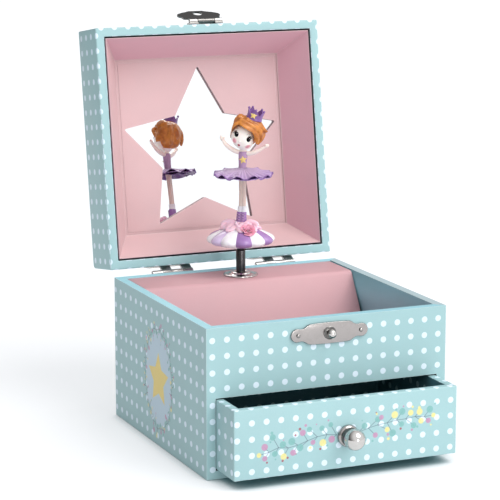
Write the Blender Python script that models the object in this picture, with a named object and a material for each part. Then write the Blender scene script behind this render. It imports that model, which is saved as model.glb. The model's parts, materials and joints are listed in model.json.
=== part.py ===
"""Ballerina jewellery box: a paper-covered box with a hinged lid, a star mirror, a drawer,
and an 18-note movement under a sloping cover that turns a removable dancer on a magnetic post.

+Z is up, -Y is the front with the catch and the drawer, +X is to the right, seen from the front.
The origin is the middle of the underside of the box. Sizes are written in millimetres and
multiplied by MM. The rest pose has the lid open on its stop hinges, the drawer part way out
and the hasp folded back over the lid.
"""
import math

import bmesh
import bpy
from mathutils import Matrix, Vector

MM = 0.001
GAP = 0.3

# The box
WIDTH = 150.0
DEPTH = 149.0
BODY_HEIGHT = 87.0
LID_HEIGHT = 33.0
WALL = 5.5
BASE_THICKNESS = 4.9
FLOOR_UNDERSIDE = 46.6
FLOOR_THICKNESS = 2.5
EDGE_ROUND = 0.6

# The lid, its lining and its hinges
LID_OPEN_DEG = 98.7
HINGE_OUT = 4.4
HINGE_DROP = 1.0
HINGE_X = 35.0
HINGE_LENGTH = 27.0
KNUCKLE_RADIUS = 2.0
PIN_RADIUS = 0.85
LEAF_THICKNESS = 0.8
LINER_DEPTH = 24.0
LINER_INSET = 13.6
STAR_RADIUS = 54.7
STAR_INNER_RATIO = 0.534
STAR_PANEL_THICKNESS = 1.5
LINER_CARD = 1.6
LID_PANEL_THICKNESS = 4.0
MIRROR_HALF = 62.0
MIRROR_THICKNESS = 2.0
KNUCKLE_GAP = 0.15
LEAF_HEIGHT_BODY = 10.4
LEAF_HEIGHT_LID = 10.2

# The hasp and the catch
HASP_PIVOT_RISE = 4.8
HASP_PIVOT_OUT = 2.2
HASP_FOLD_DEG = 155.5
HASP_WIDTH = 29.0
HASP_LENGTH = 18.8
CATCH_Z = 78.0
CATCH_WIDTH = 48.0
CATCH_HEIGHT = 12.4
STUD_RADIUS = 2.5
STAMPED_THICKNESS = 0.9
HASP_BARREL_RADIUS = 1.6
HASP_PIN_RADIUS = 0.7
HASP_BRACKET_HALF = 11.0
HASP_FORK_HALF = 6.0
HASP_HOLE_CLEARANCE = 0.45

# The drawer
DRAWER_OUT = 25.3
DRAWER_LENGTH = 95.5
DRAWER_HALF_WIDTH = 69.2
DRAWER_LOW = 5.6
DRAWER_HIGH = 45.8
DRAWER_WALL = 5.0
DRAWER_BOTTOM = 3.0
KNOB_RADIUS = 5.8
KNOB_STAND = 9.2
KNOB_FLANGE_RADIUS = 6.4
KNOB_Z = 24.2
KNOB_NECK_RADIUS = 2.6
KNOB_BORE_DEPTH = 7.0

# The cover over the movement, and the post
COVER_THICKNESS = 1.6
COVER_TOP = 86.7
COVER_FOLD_Y = 38.6
COVER_FOLD_RADIUS = 4.0
COVER_FOOT_Y = 22.6
POST_Y = 52.5
POST_RADIUS = 3.1
POST_TOP = 102.8
GROMMET_RADIUS = 10.8
GROMMET_BORE_CLEARANCE = 0.5
GROMMET_COLLAR_HEIGHT = 2.0
GROMMET_NECK_DEPTH = 3.4
MAGNET_HEIGHT = 1.8

# The movement
MODULE = 0.7
CYLINDER_TEETH = 18
GREAT_TEETH = 36
PINION_TEETH = 9
WORM_MODULE = 0.5
WORM_WHEEL_TEETH = 20
CYLINDER_RADIUS = 6.5
CYLINDER_LOW = 58.0
CYLINDER_HIGH = 78.0
GEAR_Z = 54.5
GEAR_THICKNESS = 2.6
COMB_NOTES = 18
WORM_Z = 51.1
WORM_RADIUS = 1.6
HOUSING_RADIUS = 13.0
SHELF_LOW = 45.4
SHELF_HIGH = 48.4
LUG_LOW = 80.0
LUG_HIGH = 83.0
ARBOR_RADIUS = 1.5
WORM_SHAFT_RADIUS = 0.8
ARM_FRONT = 36.5
FAN_RADIUS = 4.7
COMB_Y = 52.2
COMB_SCREW_X = -20.5
COMB_SCREW_Z = (62.0, 74.0)
COMB_SCREW_RADIUS = 1.1
COMB_THICKNESS = 1.0
COMB_BACK_X = -26.0
COMB_ROOT_X = -13.2
COMB_TIP_GAP = 0.9
COMB_END_MARGIN = 0.5
CYLINDER_FACETS = 30
PIN_MARGIN = 0.36
PIN_TAPER = 0.03
PIN_PROUD = 0.45
PLATE_THICKNESS = 2.4
WING_RADIUS = 5.4
WING_X = 8.2
KEY_STAND_OFF = 2.0
KEY_BLADE_HALF = 0.9
TOOTH_ABOVE = 0.55
TOOTH_BELOW = 0.75
WHEEL_THICKNESS = 1.3

# Small fastenings of the box
KEY_HOLE_RADIUS = 4.0
NAIL_HOLE_DEPTH = 3.0
STUD_HOLE_DEPTH = 4.5
SCREW_RADIUS = 1.3
MOUNT_SCREW_X = 17.0
MOUNT_SCREW_Z = 70.0
CATCH_NAIL_X = 19.6
NAIL_RADIUS = 0.6
STUD_SHANK_RADIUS = 1.3
PARTITION_SET_BACK = 2.1
PARTITION_THICKNESS = 2.8
GROMMET_NECK_RADIUS = 6.2

# The dancer
DANCER_TURN_DEG = -33.0
BASE_UNDERSIDE = 104.6
BASE_RADIUS = 21.2
BASE_BORE_RADIUS = 5.0
BASE_MAGNET_RADIUS = 4.6
BASE_MAGNET_HEIGHT = 2.6
TUTU_RADIUS = 18.6
HEAD_CENTRE = (1.3, -0.6, 173.2)
HEAD_RADII = (7.1, 6.6, 7.1)
HEAD_CLEARANCE = 0.3
HAIR_CENTRE = (5.0, 1.9, 177.0)
HAIR_RADII = (10.6, 9.0, 9.6)
CROWN_TILT_DEG = 17.0
CROWN_NOTCHES = 5

HALF_W = WIDTH / 2
HALF_D = DEPTH / 2
INNER_X = HALF_W - WALL
INNER_Y = HALF_D - WALL
RIM = BODY_HEIGHT + GAP
LID_TOP = RIM + LID_HEIGHT
FLOOR_TOP = FLOOR_UNDERSIDE + FLOOR_THICKNESS
HINGE = Vector((0.0, HALF_D + HINGE_OUT, BODY_HEIGHT - HINGE_DROP))
HASP = Vector((0.0, -HALF_D - HASP_PIVOT_OUT, RIM + HASP_PIVOT_RISE))
GEAR_PITCH_RADIUS = MODULE * CYLINDER_TEETH / 2
GREAT_PITCH_RADIUS = MODULE * GREAT_TEETH / 2
PINION_PITCH_RADIUS = MODULE * PINION_TEETH / 2
WORM_WHEEL_PITCH_RADIUS = WORM_MODULE * WORM_WHEEL_TEETH / 2
KEY_Z = GEAR_Z - GREAT_PITCH_RADIUS
MESH_CLEARANCE = 0.15
IDLER_X = GEAR_PITCH_RADIUS + PINION_PITCH_RADIUS + MESH_CLEARANCE
WORM_X = IDLER_X + WORM_WHEEL_PITCH_RADIUS + WORM_RADIUS + MESH_CLEARANCE
WHEEL_FRONT = POST_Y + GEAR_PITCH_RADIUS + TOOTH_ABOVE + 0.5
CONTRATE_TIP = POST_Y + GEAR_PITCH_RADIUS - TOOTH_BELOW + 0.35
HOUSING_FRONT = WHEEL_FRONT + WHEEL_THICKNESS + 0.4
DANCER = Vector((0.0, POST_Y, 0.0))

PAPER_BLUE = (0.50, 0.72, 0.76)
PAPER_PINK = (0.80, 0.52, 0.54)


# ---------------------------------------------------------------- helpers

def clear_scene():
    for item in list(bpy.data.objects):
        bpy.data.objects.remove(item, do_unlink=True)


def material(name, rgb, roughness, metallic=0.0):
    found = bpy.data.materials.get(name)
    if found:
        return found
    made = bpy.data.materials.new(name)
    made.use_nodes = True
    shader = made.node_tree.nodes["Principled BSDF"]
    shader.inputs["Base Color"].default_value = (*rgb, 1.0)
    shader.inputs["Roughness"].default_value = roughness
    shader.inputs["Metallic"].default_value = metallic
    return made


def pivot(name, point, parent=None, parent_point=None):
    """An empty on a joint's axis. Points are in the closed box's own millimetres."""
    empty = bpy.data.objects.new(name, None)
    bpy.context.scene.collection.objects.link(empty)
    start = Vector(parent_point) if parent_point is not None else Vector((0, 0, 0))
    empty.location = (Vector(point) - start) * MM
    empty.parent = parent
    empty["point"] = list(point)
    return empty


def place(name, bm, look, parent=None, bevel=0.0, smooth=False):
    """Turn a bmesh in millimetres into a named object under its pivot."""
    bmesh.ops.recalc_face_normals(bm, faces=bm.faces)
    start = Vector(parent["point"]) if parent is not None else Vector((0, 0, 0))
    bmesh.ops.translate(bm, vec=-start, verts=bm.verts)
    bmesh.ops.scale(bm, vec=(MM, MM, MM), verts=bm.verts)
    mesh = bpy.data.meshes.new(name)
    bm.to_mesh(mesh)
    bm.free()
    if smooth:
        mesh.shade_smooth()
        mesh.set_sharp_from_angle(angle=math.radians(40))
    thing = bpy.data.objects.new(name, mesh)
    bpy.context.scene.collection.objects.link(thing)
    thing.parent = parent
    if look is not None:
        mesh.materials.append(look)
    if bevel:
        rounding = thing.modifiers.new("edges", "BEVEL")
        rounding.width = bevel * MM
        rounding.segments = 1
        rounding.limit_method = "ANGLE"
        rounding.angle_limit = math.radians(50)
    return thing


def combine(thing, bm, operation):
    """Add a shape to an object, or cut one out of it, with an exact Boolean."""
    tool = place(thing.name + "_tool", bm, None, parent=thing.parent)
    tool.hide_render = True
    tool.display_type = "WIRE"
    step = thing.modifiers.new(operation.lower(), "BOOLEAN")
    step.operation = operation
    step.solver = "EXACT"
    step.object = tool


def cut(thing, bm):
    combine(thing, bm, "DIFFERENCE")


def join(thing, bm):
    combine(thing, bm, "UNION")


def box(low, high):
    bm = bmesh.new()
    centre = (Vector(low) + Vector(high)) / 2
    size = Vector(high) - Vector(low)
    matrix = Matrix.Translation(centre) @ Matrix.Diagonal((*size, 1.0))
    bmesh.ops.create_cube(bm, size=1.0, matrix=matrix)
    return bm


AXIS_TURN = {
    "X": Matrix.Rotation(math.radians(90), 4, "Y"),
    "Y": Matrix.Rotation(math.radians(-90), 4, "X"),
    "Z": Matrix.Identity(4),
}


def turned(profile, centre=(0, 0, 0), axis="Z", steps=24):
    """Turn a closed outline of (radius, height) points about an axis through centre."""
    bm = bmesh.new()
    ring = [bm.verts.new((radius, 0.0, height)) for radius, height in profile]
    count = len(ring)
    edges = [bm.edges.new((ring[i], ring[(i + 1) % count])) for i in range(count)]
    bmesh.ops.spin(bm, geom=ring + edges, angle=math.tau, steps=steps, axis=(0, 0, 1),
                   cent=(0, 0, 0), use_merge=True)
    bmesh.ops.remove_doubles(bm, verts=bm.verts, dist=0.0001)
    flat = [edge for edge in bm.edges if edge.calc_length() < 0.0002]
    bmesh.ops.dissolve_degenerate(bm, dist=0.0002, edges=flat or bm.edges)
    bmesh.ops.transform(bm, matrix=Matrix.Translation(centre) @ AXIS_TURN[axis], verts=bm.verts)
    return bm


def rod(radius, start, length, centre=(0, 0, 0), axis="Z", steps=20):
    """A solid cylinder that runs along axis from start for length."""
    bm = bmesh.new()
    bmesh.ops.create_cone(bm, cap_ends=True, segments=steps, radius1=radius, radius2=radius,
                          depth=length)
    shift = Matrix.Translation((0, 0, start + length / 2))
    bmesh.ops.transform(bm, matrix=Matrix.Translation(centre) @ AXIS_TURN[axis] @ shift,
                        verts=bm.verts)
    return bm


def ball(radii, centre, steps=16, rings=10):
    bm = bmesh.new()
    bmesh.ops.create_uvsphere(bm, u_segments=steps, v_segments=rings, radius=1.0)
    matrix = Matrix.Translation(centre) @ Matrix.Diagonal((*radii, 1.0))
    bmesh.ops.transform(bm, matrix=matrix, verts=bm.verts)
    return bm


def plate(outline, low, high, axis="Z"):
    """Extrude a closed outline of (a, b) points along an axis between low and high.

    The outline lies in the plane across the axis: (x, y) for Z, (x, z) for Y, (y, z) for X.
    """
    orders = {"Z": (0, 1, 2), "Y": (0, 2, 1), "X": (1, 2, 0)}
    first, second, along = orders[axis]
    bm = bmesh.new()
    corners = []
    for a, b in outline:
        point = [0.0, 0.0, 0.0]
        point[first] = a
        point[second] = b
        point[along] = low
        corners.append(bm.verts.new(point))
    face = bm.faces.new(corners)
    grown = bmesh.ops.extrude_face_region(bm, geom=[face])
    moved = [item for item in grown["geom"] if isinstance(item, bmesh.types.BMVert)]
    step = Vector((0, 0, 0))
    step[along] = high - low
    bmesh.ops.translate(bm, vec=step, verts=moved)
    return bm


def limb(start, end, start_radius, end_radius, steps=12):
    """A tapered round limb between two points."""
    start = Vector(start)
    end = Vector(end)
    run = end - start
    bm = bmesh.new()
    bmesh.ops.create_cone(bm, cap_ends=True, segments=steps, radius1=start_radius,
                          radius2=end_radius, depth=run.length)
    turn = run.to_track_quat("Z", "Y").to_matrix().to_4x4()
    bmesh.ops.transform(bm, matrix=Matrix.Translation((start + end) / 2) @ turn, verts=bm.verts)
    return bm


def arc(centre, radius, start_deg, end_deg, steps):
    points = []
    for i in range(steps + 1):
        angle = math.radians(start_deg + (end_deg - start_deg) * i / steps)
        points.append((centre[0] + radius * math.cos(angle), centre[1] + radius * math.sin(angle)))
    return points


# ---------------------------------------------------------------- the box

def build_carcass(paper):
    for side, name in ((-1, "left_side_panel"), (1, "right_side_panel")):
        edges = sorted((side * INNER_X, side * HALF_W))
        panel = box((edges[0], -HALF_D, 0), (edges[1], HALF_D, BODY_HEIGHT))
        place(name, panel, paper, bevel=EDGE_ROUND)

    inside = INNER_X - GAP
    back = place("back_panel", box((-inside, INNER_Y, 0), (inside, HALF_D, BODY_HEIGHT)), paper,
                 bevel=EDGE_ROUND)
    cut(back, rod(KEY_HOLE_RADIUS, INNER_Y - 2, WALL + 4, (0, 0, KEY_Z), "Y", 20))
    for x in (-MOUNT_SCREW_X, MOUNT_SCREW_X):
        cut(back, rod(SCREW_RADIUS + GAP, INNER_Y - 2, WALL + 4, (x, 0, MOUNT_SCREW_Z), "Y", 12))

    front = box((-inside, -HALF_D, FLOOR_UNDERSIDE), (inside, -INNER_Y, BODY_HEIGHT))
    front = place("front_panel", front, paper, bevel=EDGE_ROUND)
    for x in (-CATCH_NAIL_X, 0.0, CATCH_NAIL_X):
        depth = NAIL_HOLE_DEPTH if x else STUD_HOLE_DEPTH
        radius = NAIL_RADIUS + GAP if x else STUD_SHANK_RADIUS + GAP
        cut(front, rod(radius, -HALF_D - 1, depth + 1, (x, 0, CATCH_Z), "Y", 12))

    base = box((-inside, -HALF_D, 0), (inside, INNER_Y - GAP, BASE_THICKNESS))
    place("base_panel", base, paper, bevel=EDGE_ROUND)

    back_edge = COVER_FOOT_Y + PARTITION_SET_BACK + PARTITION_THICKNESS
    floor = box((-inside, -INNER_Y + GAP, FLOOR_UNDERSIDE), (inside, back_edge, FLOOR_TOP))
    place("compartment_floor", floor, material("lining_paper", PAPER_PINK, 0.7))

    wall = box((-inside, back_edge - PARTITION_THICKNESS, BASE_THICKNESS + GAP),
               (inside, back_edge, FLOOR_UNDERSIDE - GAP))
    place("mechanism_partition", wall, material("grey_board", (0.45, 0.43, 0.40), 0.9))


def cover_outline(inset):
    """The cover's section in (y, z), from the back wall over the fold to the foot.

    The fold is an arc that is tangent to the flat top and to the sloping front.
    """
    top = COVER_TOP - inset
    slope = math.atan2(COVER_FOLD_Y - COVER_FOOT_Y, COVER_TOP - COVER_FOLD_RADIUS - FLOOR_TOP)
    centre = (COVER_FOLD_Y + 0.5, COVER_TOP - COVER_FOLD_RADIUS)
    bend = arc(centre, COVER_FOLD_RADIUS - inset, 90, 180 - math.degrees(slope), 5)
    last = bend[-1]
    foot_z = FLOOR_TOP + GAP
    foot_y = last[0] - math.tan(slope) * (last[1] - foot_z)
    return [(INNER_Y - GAP, top)] + bend + [(foot_y, foot_z)]


def build_cover(nickel):
    outline = cover_outline(0.0) + list(reversed(cover_outline(COVER_THICKNESS)))
    inside = INNER_X - GAP
    cover = place("mechanism_cover", plate(outline, -inside, inside, "X"),
                  material("pink_card", PAPER_PINK, 0.65))
    cut(cover, rod(GROMMET_NECK_RADIUS + GAP, COVER_TOP - 5, 8, (0, POST_Y, 0), "Z", 24))

    bore = POST_RADIUS + GROMMET_BORE_CLEARANCE
    seat = COVER_TOP + GAP
    profile = [
        (bore, seat - GROMMET_NECK_DEPTH),
        (GROMMET_NECK_RADIUS, seat - GROMMET_NECK_DEPTH),
        (GROMMET_NECK_RADIUS, seat),
        (GROMMET_RADIUS, seat),
        (GROMMET_RADIUS - 0.5, seat + 0.7),
        (GROMMET_NECK_RADIUS + 0.5, seat + 0.9),
        (GROMMET_NECK_RADIUS, seat + GROMMET_COLLAR_HEIGHT),
        (bore, seat + GROMMET_COLLAR_HEIGHT),
    ]
    place("cover_grommet", turned(profile, (0, POST_Y, 0), "Z", 28), nickel, smooth=True)


def ornate_outline(half_length, half_height, centre_z):
    """The catch plate's outline: a raised middle, a step, and a round lobe at each end."""
    lobe = half_height * 0.62
    shoulder = half_length - 2.4 * lobe
    right = [(shoulder - 4.0, half_height), (shoulder - 0.6, half_height - 0.8)]
    right += [(shoulder, lobe + 0.9), (shoulder + 1.4, lobe)]
    right += arc((half_length - lobe, 0), lobe, 78, -78, 8)
    right += [(shoulder + 1.4, -lobe), (shoulder, -lobe - 0.9)]
    right += [(shoulder - 0.6, -half_height + 0.8), (shoulder - 4.0, -half_height)]
    left = [(-x, -z) for x, z in right]
    return [(x, z + centre_z) for x, z in right + left]


def build_catch(nickel):
    back = -HALF_D - GAP
    face = back - STAMPED_THICKNESS
    outline = ornate_outline(CATCH_WIDTH / 2, CATCH_HEIGHT / 2, CATCH_Z)
    catch = place("catch_plate", plate(outline, face, back, "Y"), nickel)
    cut(catch, rod(STUD_SHANK_RADIUS + GAP, face - 1, 3, (0, 0, CATCH_Z), "Y", 16))
    for x in (-CATCH_NAIL_X, CATCH_NAIL_X):
        cut(catch, rod(NAIL_RADIUS + GAP, face - 1, 3, (x, 0, CATCH_Z), "Y", 12))

    seat = -face + GAP
    stud = [
        (0, seat - 4.6),
        (STUD_SHANK_RADIUS, seat - 4.6),
        (STUD_SHANK_RADIUS, seat),
        (3.8, seat),
        (3.4, seat + 0.4),
        (1.7, seat + 0.5),
        (1.7, seat + 1.5),
        (STUD_RADIUS, seat + 2.6),
        (STUD_RADIUS, seat + 3.4),
        (1.6, seat + 4.6),
        (0, seat + 5.0),
    ]
    turned_stud = turned([(radius, -height) for radius, height in stud], (0, 0, CATCH_Z), "Y", 20)
    place("catch_stud", turned_stud, nickel, smooth=True)

    for x, name in ((-CATCH_NAIL_X, "catch_nail_left"), (CATCH_NAIL_X, "catch_nail_right")):
        profile = [
            (0, -seat + 3.6),
            (NAIL_RADIUS, -seat + 3.0),
            (NAIL_RADIUS, -seat),
            (1.3, -seat),
            (0.9, -seat - 0.5),
            (0, -seat - 0.7),
        ]
        place(name, turned(profile, (x, 0, CATCH_Z), "Y", 12), nickel, smooth=True)


def hinge_leaf(name, look, x, low_z, high_z, knuckles, parent):
    """A flat leaf, with straps that rise to its knuckles on the hinge's pin."""
    back = HALF_D + GAP
    half = HINGE_LENGTH / 2
    leaf = place(name, box((x - half, back, low_z), (x + half, back + LEAF_THICKNESS, high_z)),
                 look, parent=parent)
    above = low_z > HINGE.z
    edge = low_z if above else high_z
    inward = 0.9 if above else -0.9
    step = HINGE_LENGTH / 4
    for index in knuckles:
        start = x - half + index * step + KNUCKLE_GAP
        end = start + step - 2 * KNUCKLE_GAP
        strap = [
            (back, edge + inward),
            (back, edge - inward * 0.4),
            (HINGE.y - 0.4, HINGE.z - KNUCKLE_RADIUS * 0.5),
            (HINGE.y + 0.3, HINGE.z + KNUCKLE_RADIUS * 0.5),
            (back + LEAF_THICKNESS, edge + inward),
        ]
        if not above:
            strap[2] = (HINGE.y - 0.4, HINGE.z + KNUCKLE_RADIUS * 0.5)
            strap[3] = (HINGE.y + 0.3, HINGE.z - KNUCKLE_RADIUS * 0.5)
        join(leaf, plate(strap, start, end, "X"))
        centre = (0, HINGE.y, HINGE.z)
        join(leaf, rod(KNUCKLE_RADIUS, start, end - start, centre, "X", 16))
    reach = HINGE_LENGTH + 4
    centre = (0, HINGE.y, HINGE.z)
    cut(leaf, rod(PIN_RADIUS + GAP, x - reach / 2, reach, centre, "X", 12))


def build_hinges(nickel, lid):
    for side, word in ((-1, "left"), (1, "right")):
        x = side * HINGE_X
        high = BODY_HEIGHT - 3.6
        hinge_leaf(f"hinge_{word}_body_leaf", nickel, x, high - LEAF_HEIGHT_BODY, high, (0, 2), None)
        low = RIM + 2.8
        hinge_leaf(f"hinge_{word}_lid_leaf", nickel, x, low, low + LEAF_HEIGHT_LID, (1, 3), lid)
        half = HINGE_LENGTH / 2
        pin = rod(PIN_RADIUS, x - half - 0.2, HINGE_LENGTH + 0.4, (0, HINGE.y, HINGE.z), "X", 12)
        place(f"hinge_{word}_pin", pin, nickel, smooth=True)


# ---------------------------------------------------------------- the lid

def star_outline(centre_y):
    """A five-pointed star whose first point lies towards the lid's front edge."""
    points = []
    for i in range(10):
        radius = STAR_RADIUS * (1.0 if i % 2 == 0 else STAR_INNER_RATIO)
        angle = math.radians(-90 + 36 * i)
        points.append((radius * math.cos(angle), centre_y + radius * math.sin(angle)))
    return points


def build_lid(paper, lid):
    for side, name in ((-1, "lid_left_wall"), (1, "lid_right_wall")):
        edges = sorted((side * INNER_X, side * HALF_W))
        wall = box((edges[0], -HALF_D, RIM), (edges[1], HALF_D, LID_TOP))
        place(name, wall, paper, parent=lid, bevel=EDGE_ROUND)
    inside_x = INNER_X - GAP
    inside_y = INNER_Y - GAP
    for side, name in ((-1, "lid_front_wall"), (1, "lid_back_wall")):
        edges = sorted((side * INNER_Y, side * HALF_D))
        wall = box((-inside_x, edges[0], RIM), (inside_x, edges[1], LID_TOP))
        place(name, wall, paper, parent=lid, bevel=EDGE_ROUND)
    top = box((-inside_x, -inside_y, LID_TOP - LID_PANEL_THICKNESS), (inside_x, inside_y, LID_TOP))
    place("lid_top_panel", top, paper, parent=lid)

    pink = material("liner_card", PAPER_PINK, 0.65)
    liner = bmesh.new()
    loops = []
    foot = LINER_DEPTH - GAP
    section = [(0.0, 0.6), (LINER_INSET, foot), (LINER_INSET - LINER_CARD, foot), (0.0, 3.4)]
    for inset, depth in section:
        x = inside_x - inset
        y = inside_y - inset
        corners = ((-x, -y), (x, -y), (x, y), (-x, y))
        loops.append([liner.verts.new((a, b, RIM + depth)) for a, b in corners])
    for i in range(4):
        this_loop = loops[i]
        next_loop = loops[(i + 1) % 4]
        for k in range(4):
            n = (k + 1) % 4
            liner.faces.new((this_loop[k], this_loop[n], next_loop[n], next_loop[k]))
    place("lid_liner", liner, pink, parent=lid)

    star_centre = STAR_RADIUS * (1 - math.cos(math.radians(36))) / 2
    front = RIM + LINER_DEPTH
    behind = front + STAR_PANEL_THICKNESS
    panel = box((-inside_x + 1, -inside_y + 1, front), (inside_x - 1, inside_y - 1, behind))
    panel = place("star_panel", panel, pink, parent=lid)
    cut(panel, plate(star_outline(star_centre), front - 2, behind + 2, "Z"))

    glass = behind + GAP
    mirror = box((-MIRROR_HALF, -MIRROR_HALF, glass),
                 (MIRROR_HALF, MIRROR_HALF, glass + MIRROR_THICKNESS))
    place("lid_mirror", mirror, material("mirror_glass", (0.9, 0.92, 0.93), 0.03, 1.0), parent=lid)


def build_hasp(nickel, lid, hasp):
    back = -HALF_D - GAP
    barrel = HASP_BARREL_RADIUS
    half = HASP_BRACKET_HALF
    inner = HASP_FORK_HALF
    bore = HASP_PIN_RADIUS + GAP
    outline = [(-half, RIM + 2.6), (half, RIM + 2.6), (half, RIM + 9.0), (half - 2.5, RIM + 11.5),
               (-half + 2.5, RIM + 11.5), (-half, RIM + 9.0)]
    bracket = place("hasp_bracket", plate(outline, back - 1.0, back, "Y"), nickel, parent=lid)
    for start in (-half, inner):
        centre = (0, HASP.y, HASP.z)
        join(bracket, rod(barrel, start, half - inner, centre, "X", 14))
    cut(bracket, rod(bore, -half - 1, 2 * half + 2, (0, HASP.y, HASP.z), "X", 12))
    slot = box((-inner + GAP, HASP.y - 4, HASP.z - 2.2), (inner - GAP, HASP.y + 1.9, HASP.z + 2.2))
    cut(bracket, slot)
    pin = rod(HASP_PIN_RADIUS, -half - 0.3, 2 * half + 0.6, (0, HASP.y, HASP.z), "X", 12)
    place("hasp_pin", pin, nickel, parent=lid, smooth=True)

    tip = HASP.z - HASP_LENGTH
    wide = HASP_WIDTH / 2
    shoulder = HASP.z - 4.4
    right = [(5.4, HASP.z + 0.4), (5.4, shoulder + 0.6), (8.6, shoulder + 0.2)]
    right += [(9.6, shoulder - 1.6), (wide - 2.2, shoulder - 2.2)]
    right += arc((wide - 3.2, (shoulder + tip) / 2 - 0.4), 3.2, 62, -62, 6)
    right += [(wide - 4.4, tip + 2.4), (7.2, tip + 1.4), (4.6, tip)]
    left = [(-x, z) for x, z in reversed(right)]
    leaf_face = HASP.y - 0.4
    leaf = plate(right + left, leaf_face - STAMPED_THICKNESS, leaf_face, "Y")
    leaf = place("hasp_leaf", leaf, nickel, parent=hasp)
    join(leaf, rod(barrel, -5.4, 10.8, (0, HASP.y, HASP.z), "X", 14))
    cut(leaf, rod(bore, -8, 16, (0, HASP.y, HASP.z), "X", 12))
    hole = STUD_RADIUS + HASP_HOLE_CLEARANCE
    cut(leaf, rod(hole, leaf_face - 3, 5, (0, 0, CATCH_Z), "Y", 20))


# ---------------------------------------------------------------- the drawer

def build_drawer(paper, nickel, drawer):
    out_y = -HALF_D
    wide = DRAWER_HALF_WIDTH
    back_y = out_y + DRAWER_LENGTH
    front = box((-wide, out_y, DRAWER_LOW), (wide, out_y + DRAWER_WALL, DRAWER_HIGH))
    front = place("drawer_front", front, paper, parent=drawer, bevel=EDGE_ROUND)
    cut(front, rod(SCREW_RADIUS + GAP, out_y - 1, DRAWER_WALL + 2, (0, 0, KNOB_Z), "Y", 12))
    start = out_y + DRAWER_WALL + GAP
    for side, name in ((-1, "drawer_left_side"), (1, "drawer_right_side")):
        edges = sorted((side * (wide - DRAWER_WALL), side * wide))
        wall = box((edges[0], start, DRAWER_LOW), (edges[1], back_y, DRAWER_HIGH))
        place(name, wall, paper, parent=drawer, bevel=EDGE_ROUND)
    inner = wide - DRAWER_WALL - GAP
    wall = box((-inner, back_y - DRAWER_WALL, DRAWER_LOW), (inner, back_y, DRAWER_HIGH))
    place("drawer_back", wall, paper, parent=drawer, bevel=EDGE_ROUND)
    bottom = box((-inner, start, DRAWER_LOW),
                 (inner, back_y - DRAWER_WALL - GAP, DRAWER_LOW + DRAWER_BOTTOM))
    place("drawer_bottom", bottom, paper, parent=drawer)

    seat = -out_y + GAP
    neck = KNOB_NECK_RADIUS
    knob = [(SCREW_RADIUS + GAP, seat), (KNOB_FLANGE_RADIUS, seat), (KNOB_FLANGE_RADIUS, seat + 0.8),
            (KNOB_FLANGE_RADIUS - 1.2, seat + 1.6), (neck + 0.6, seat + 2.4)]
    centre = seat + KNOB_STAND
    for radius, height in arc((0, centre), KNOB_RADIUS, -63, 86, 9):
        knob.append((radius, height))
    bottom = seat + KNOB_BORE_DEPTH
    knob += [(0, centre + KNOB_RADIUS), (0, bottom), (SCREW_RADIUS + GAP, bottom)]
    knob = turned([(radius, -height) for radius, height in knob], (0, 0, KNOB_Z), "Y", 24)
    place("drawer_knob", knob, nickel, parent=drawer, smooth=True)
    inside = -out_y - DRAWER_WALL - GAP
    screw = [(0, inside - 1.6), (2.2, inside - 1.5), (2.8, inside), (SCREW_RADIUS, inside),
             (SCREW_RADIUS, seat + 6.4), (0, seat + 6.4)]
    screw = turned([(radius, -height) for radius, height in screw], (0, 0, KNOB_Z), "Y", 14)
    place("knob_screw", screw, nickel, parent=drawer, smooth=True)


# ---------------------------------------------------------------- the movement

def gear_outline(teeth, pitch_radius, above, below, share=0.35, first_deg=0.0):
    """A spur wheel's outline with straight-sided teeth. The first tooth points at first_deg."""
    step = math.tau / teeth
    half = step * share / 2
    points = []
    for i in range(teeth):
        middle = math.radians(first_deg) + i * step
        tip = pitch_radius + above
        root = pitch_radius - below
        corners = ((root, -half * 1.3), (tip, -half * 0.6), (tip, half * 0.6), (root, half * 1.3))
        for radius, offset in corners:
            points.append((radius * math.cos(middle + offset), radius * math.sin(middle + offset)))
    return points


def moved(outline, x, y):
    return [(a + x, b + y) for a, b in outline]


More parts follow.
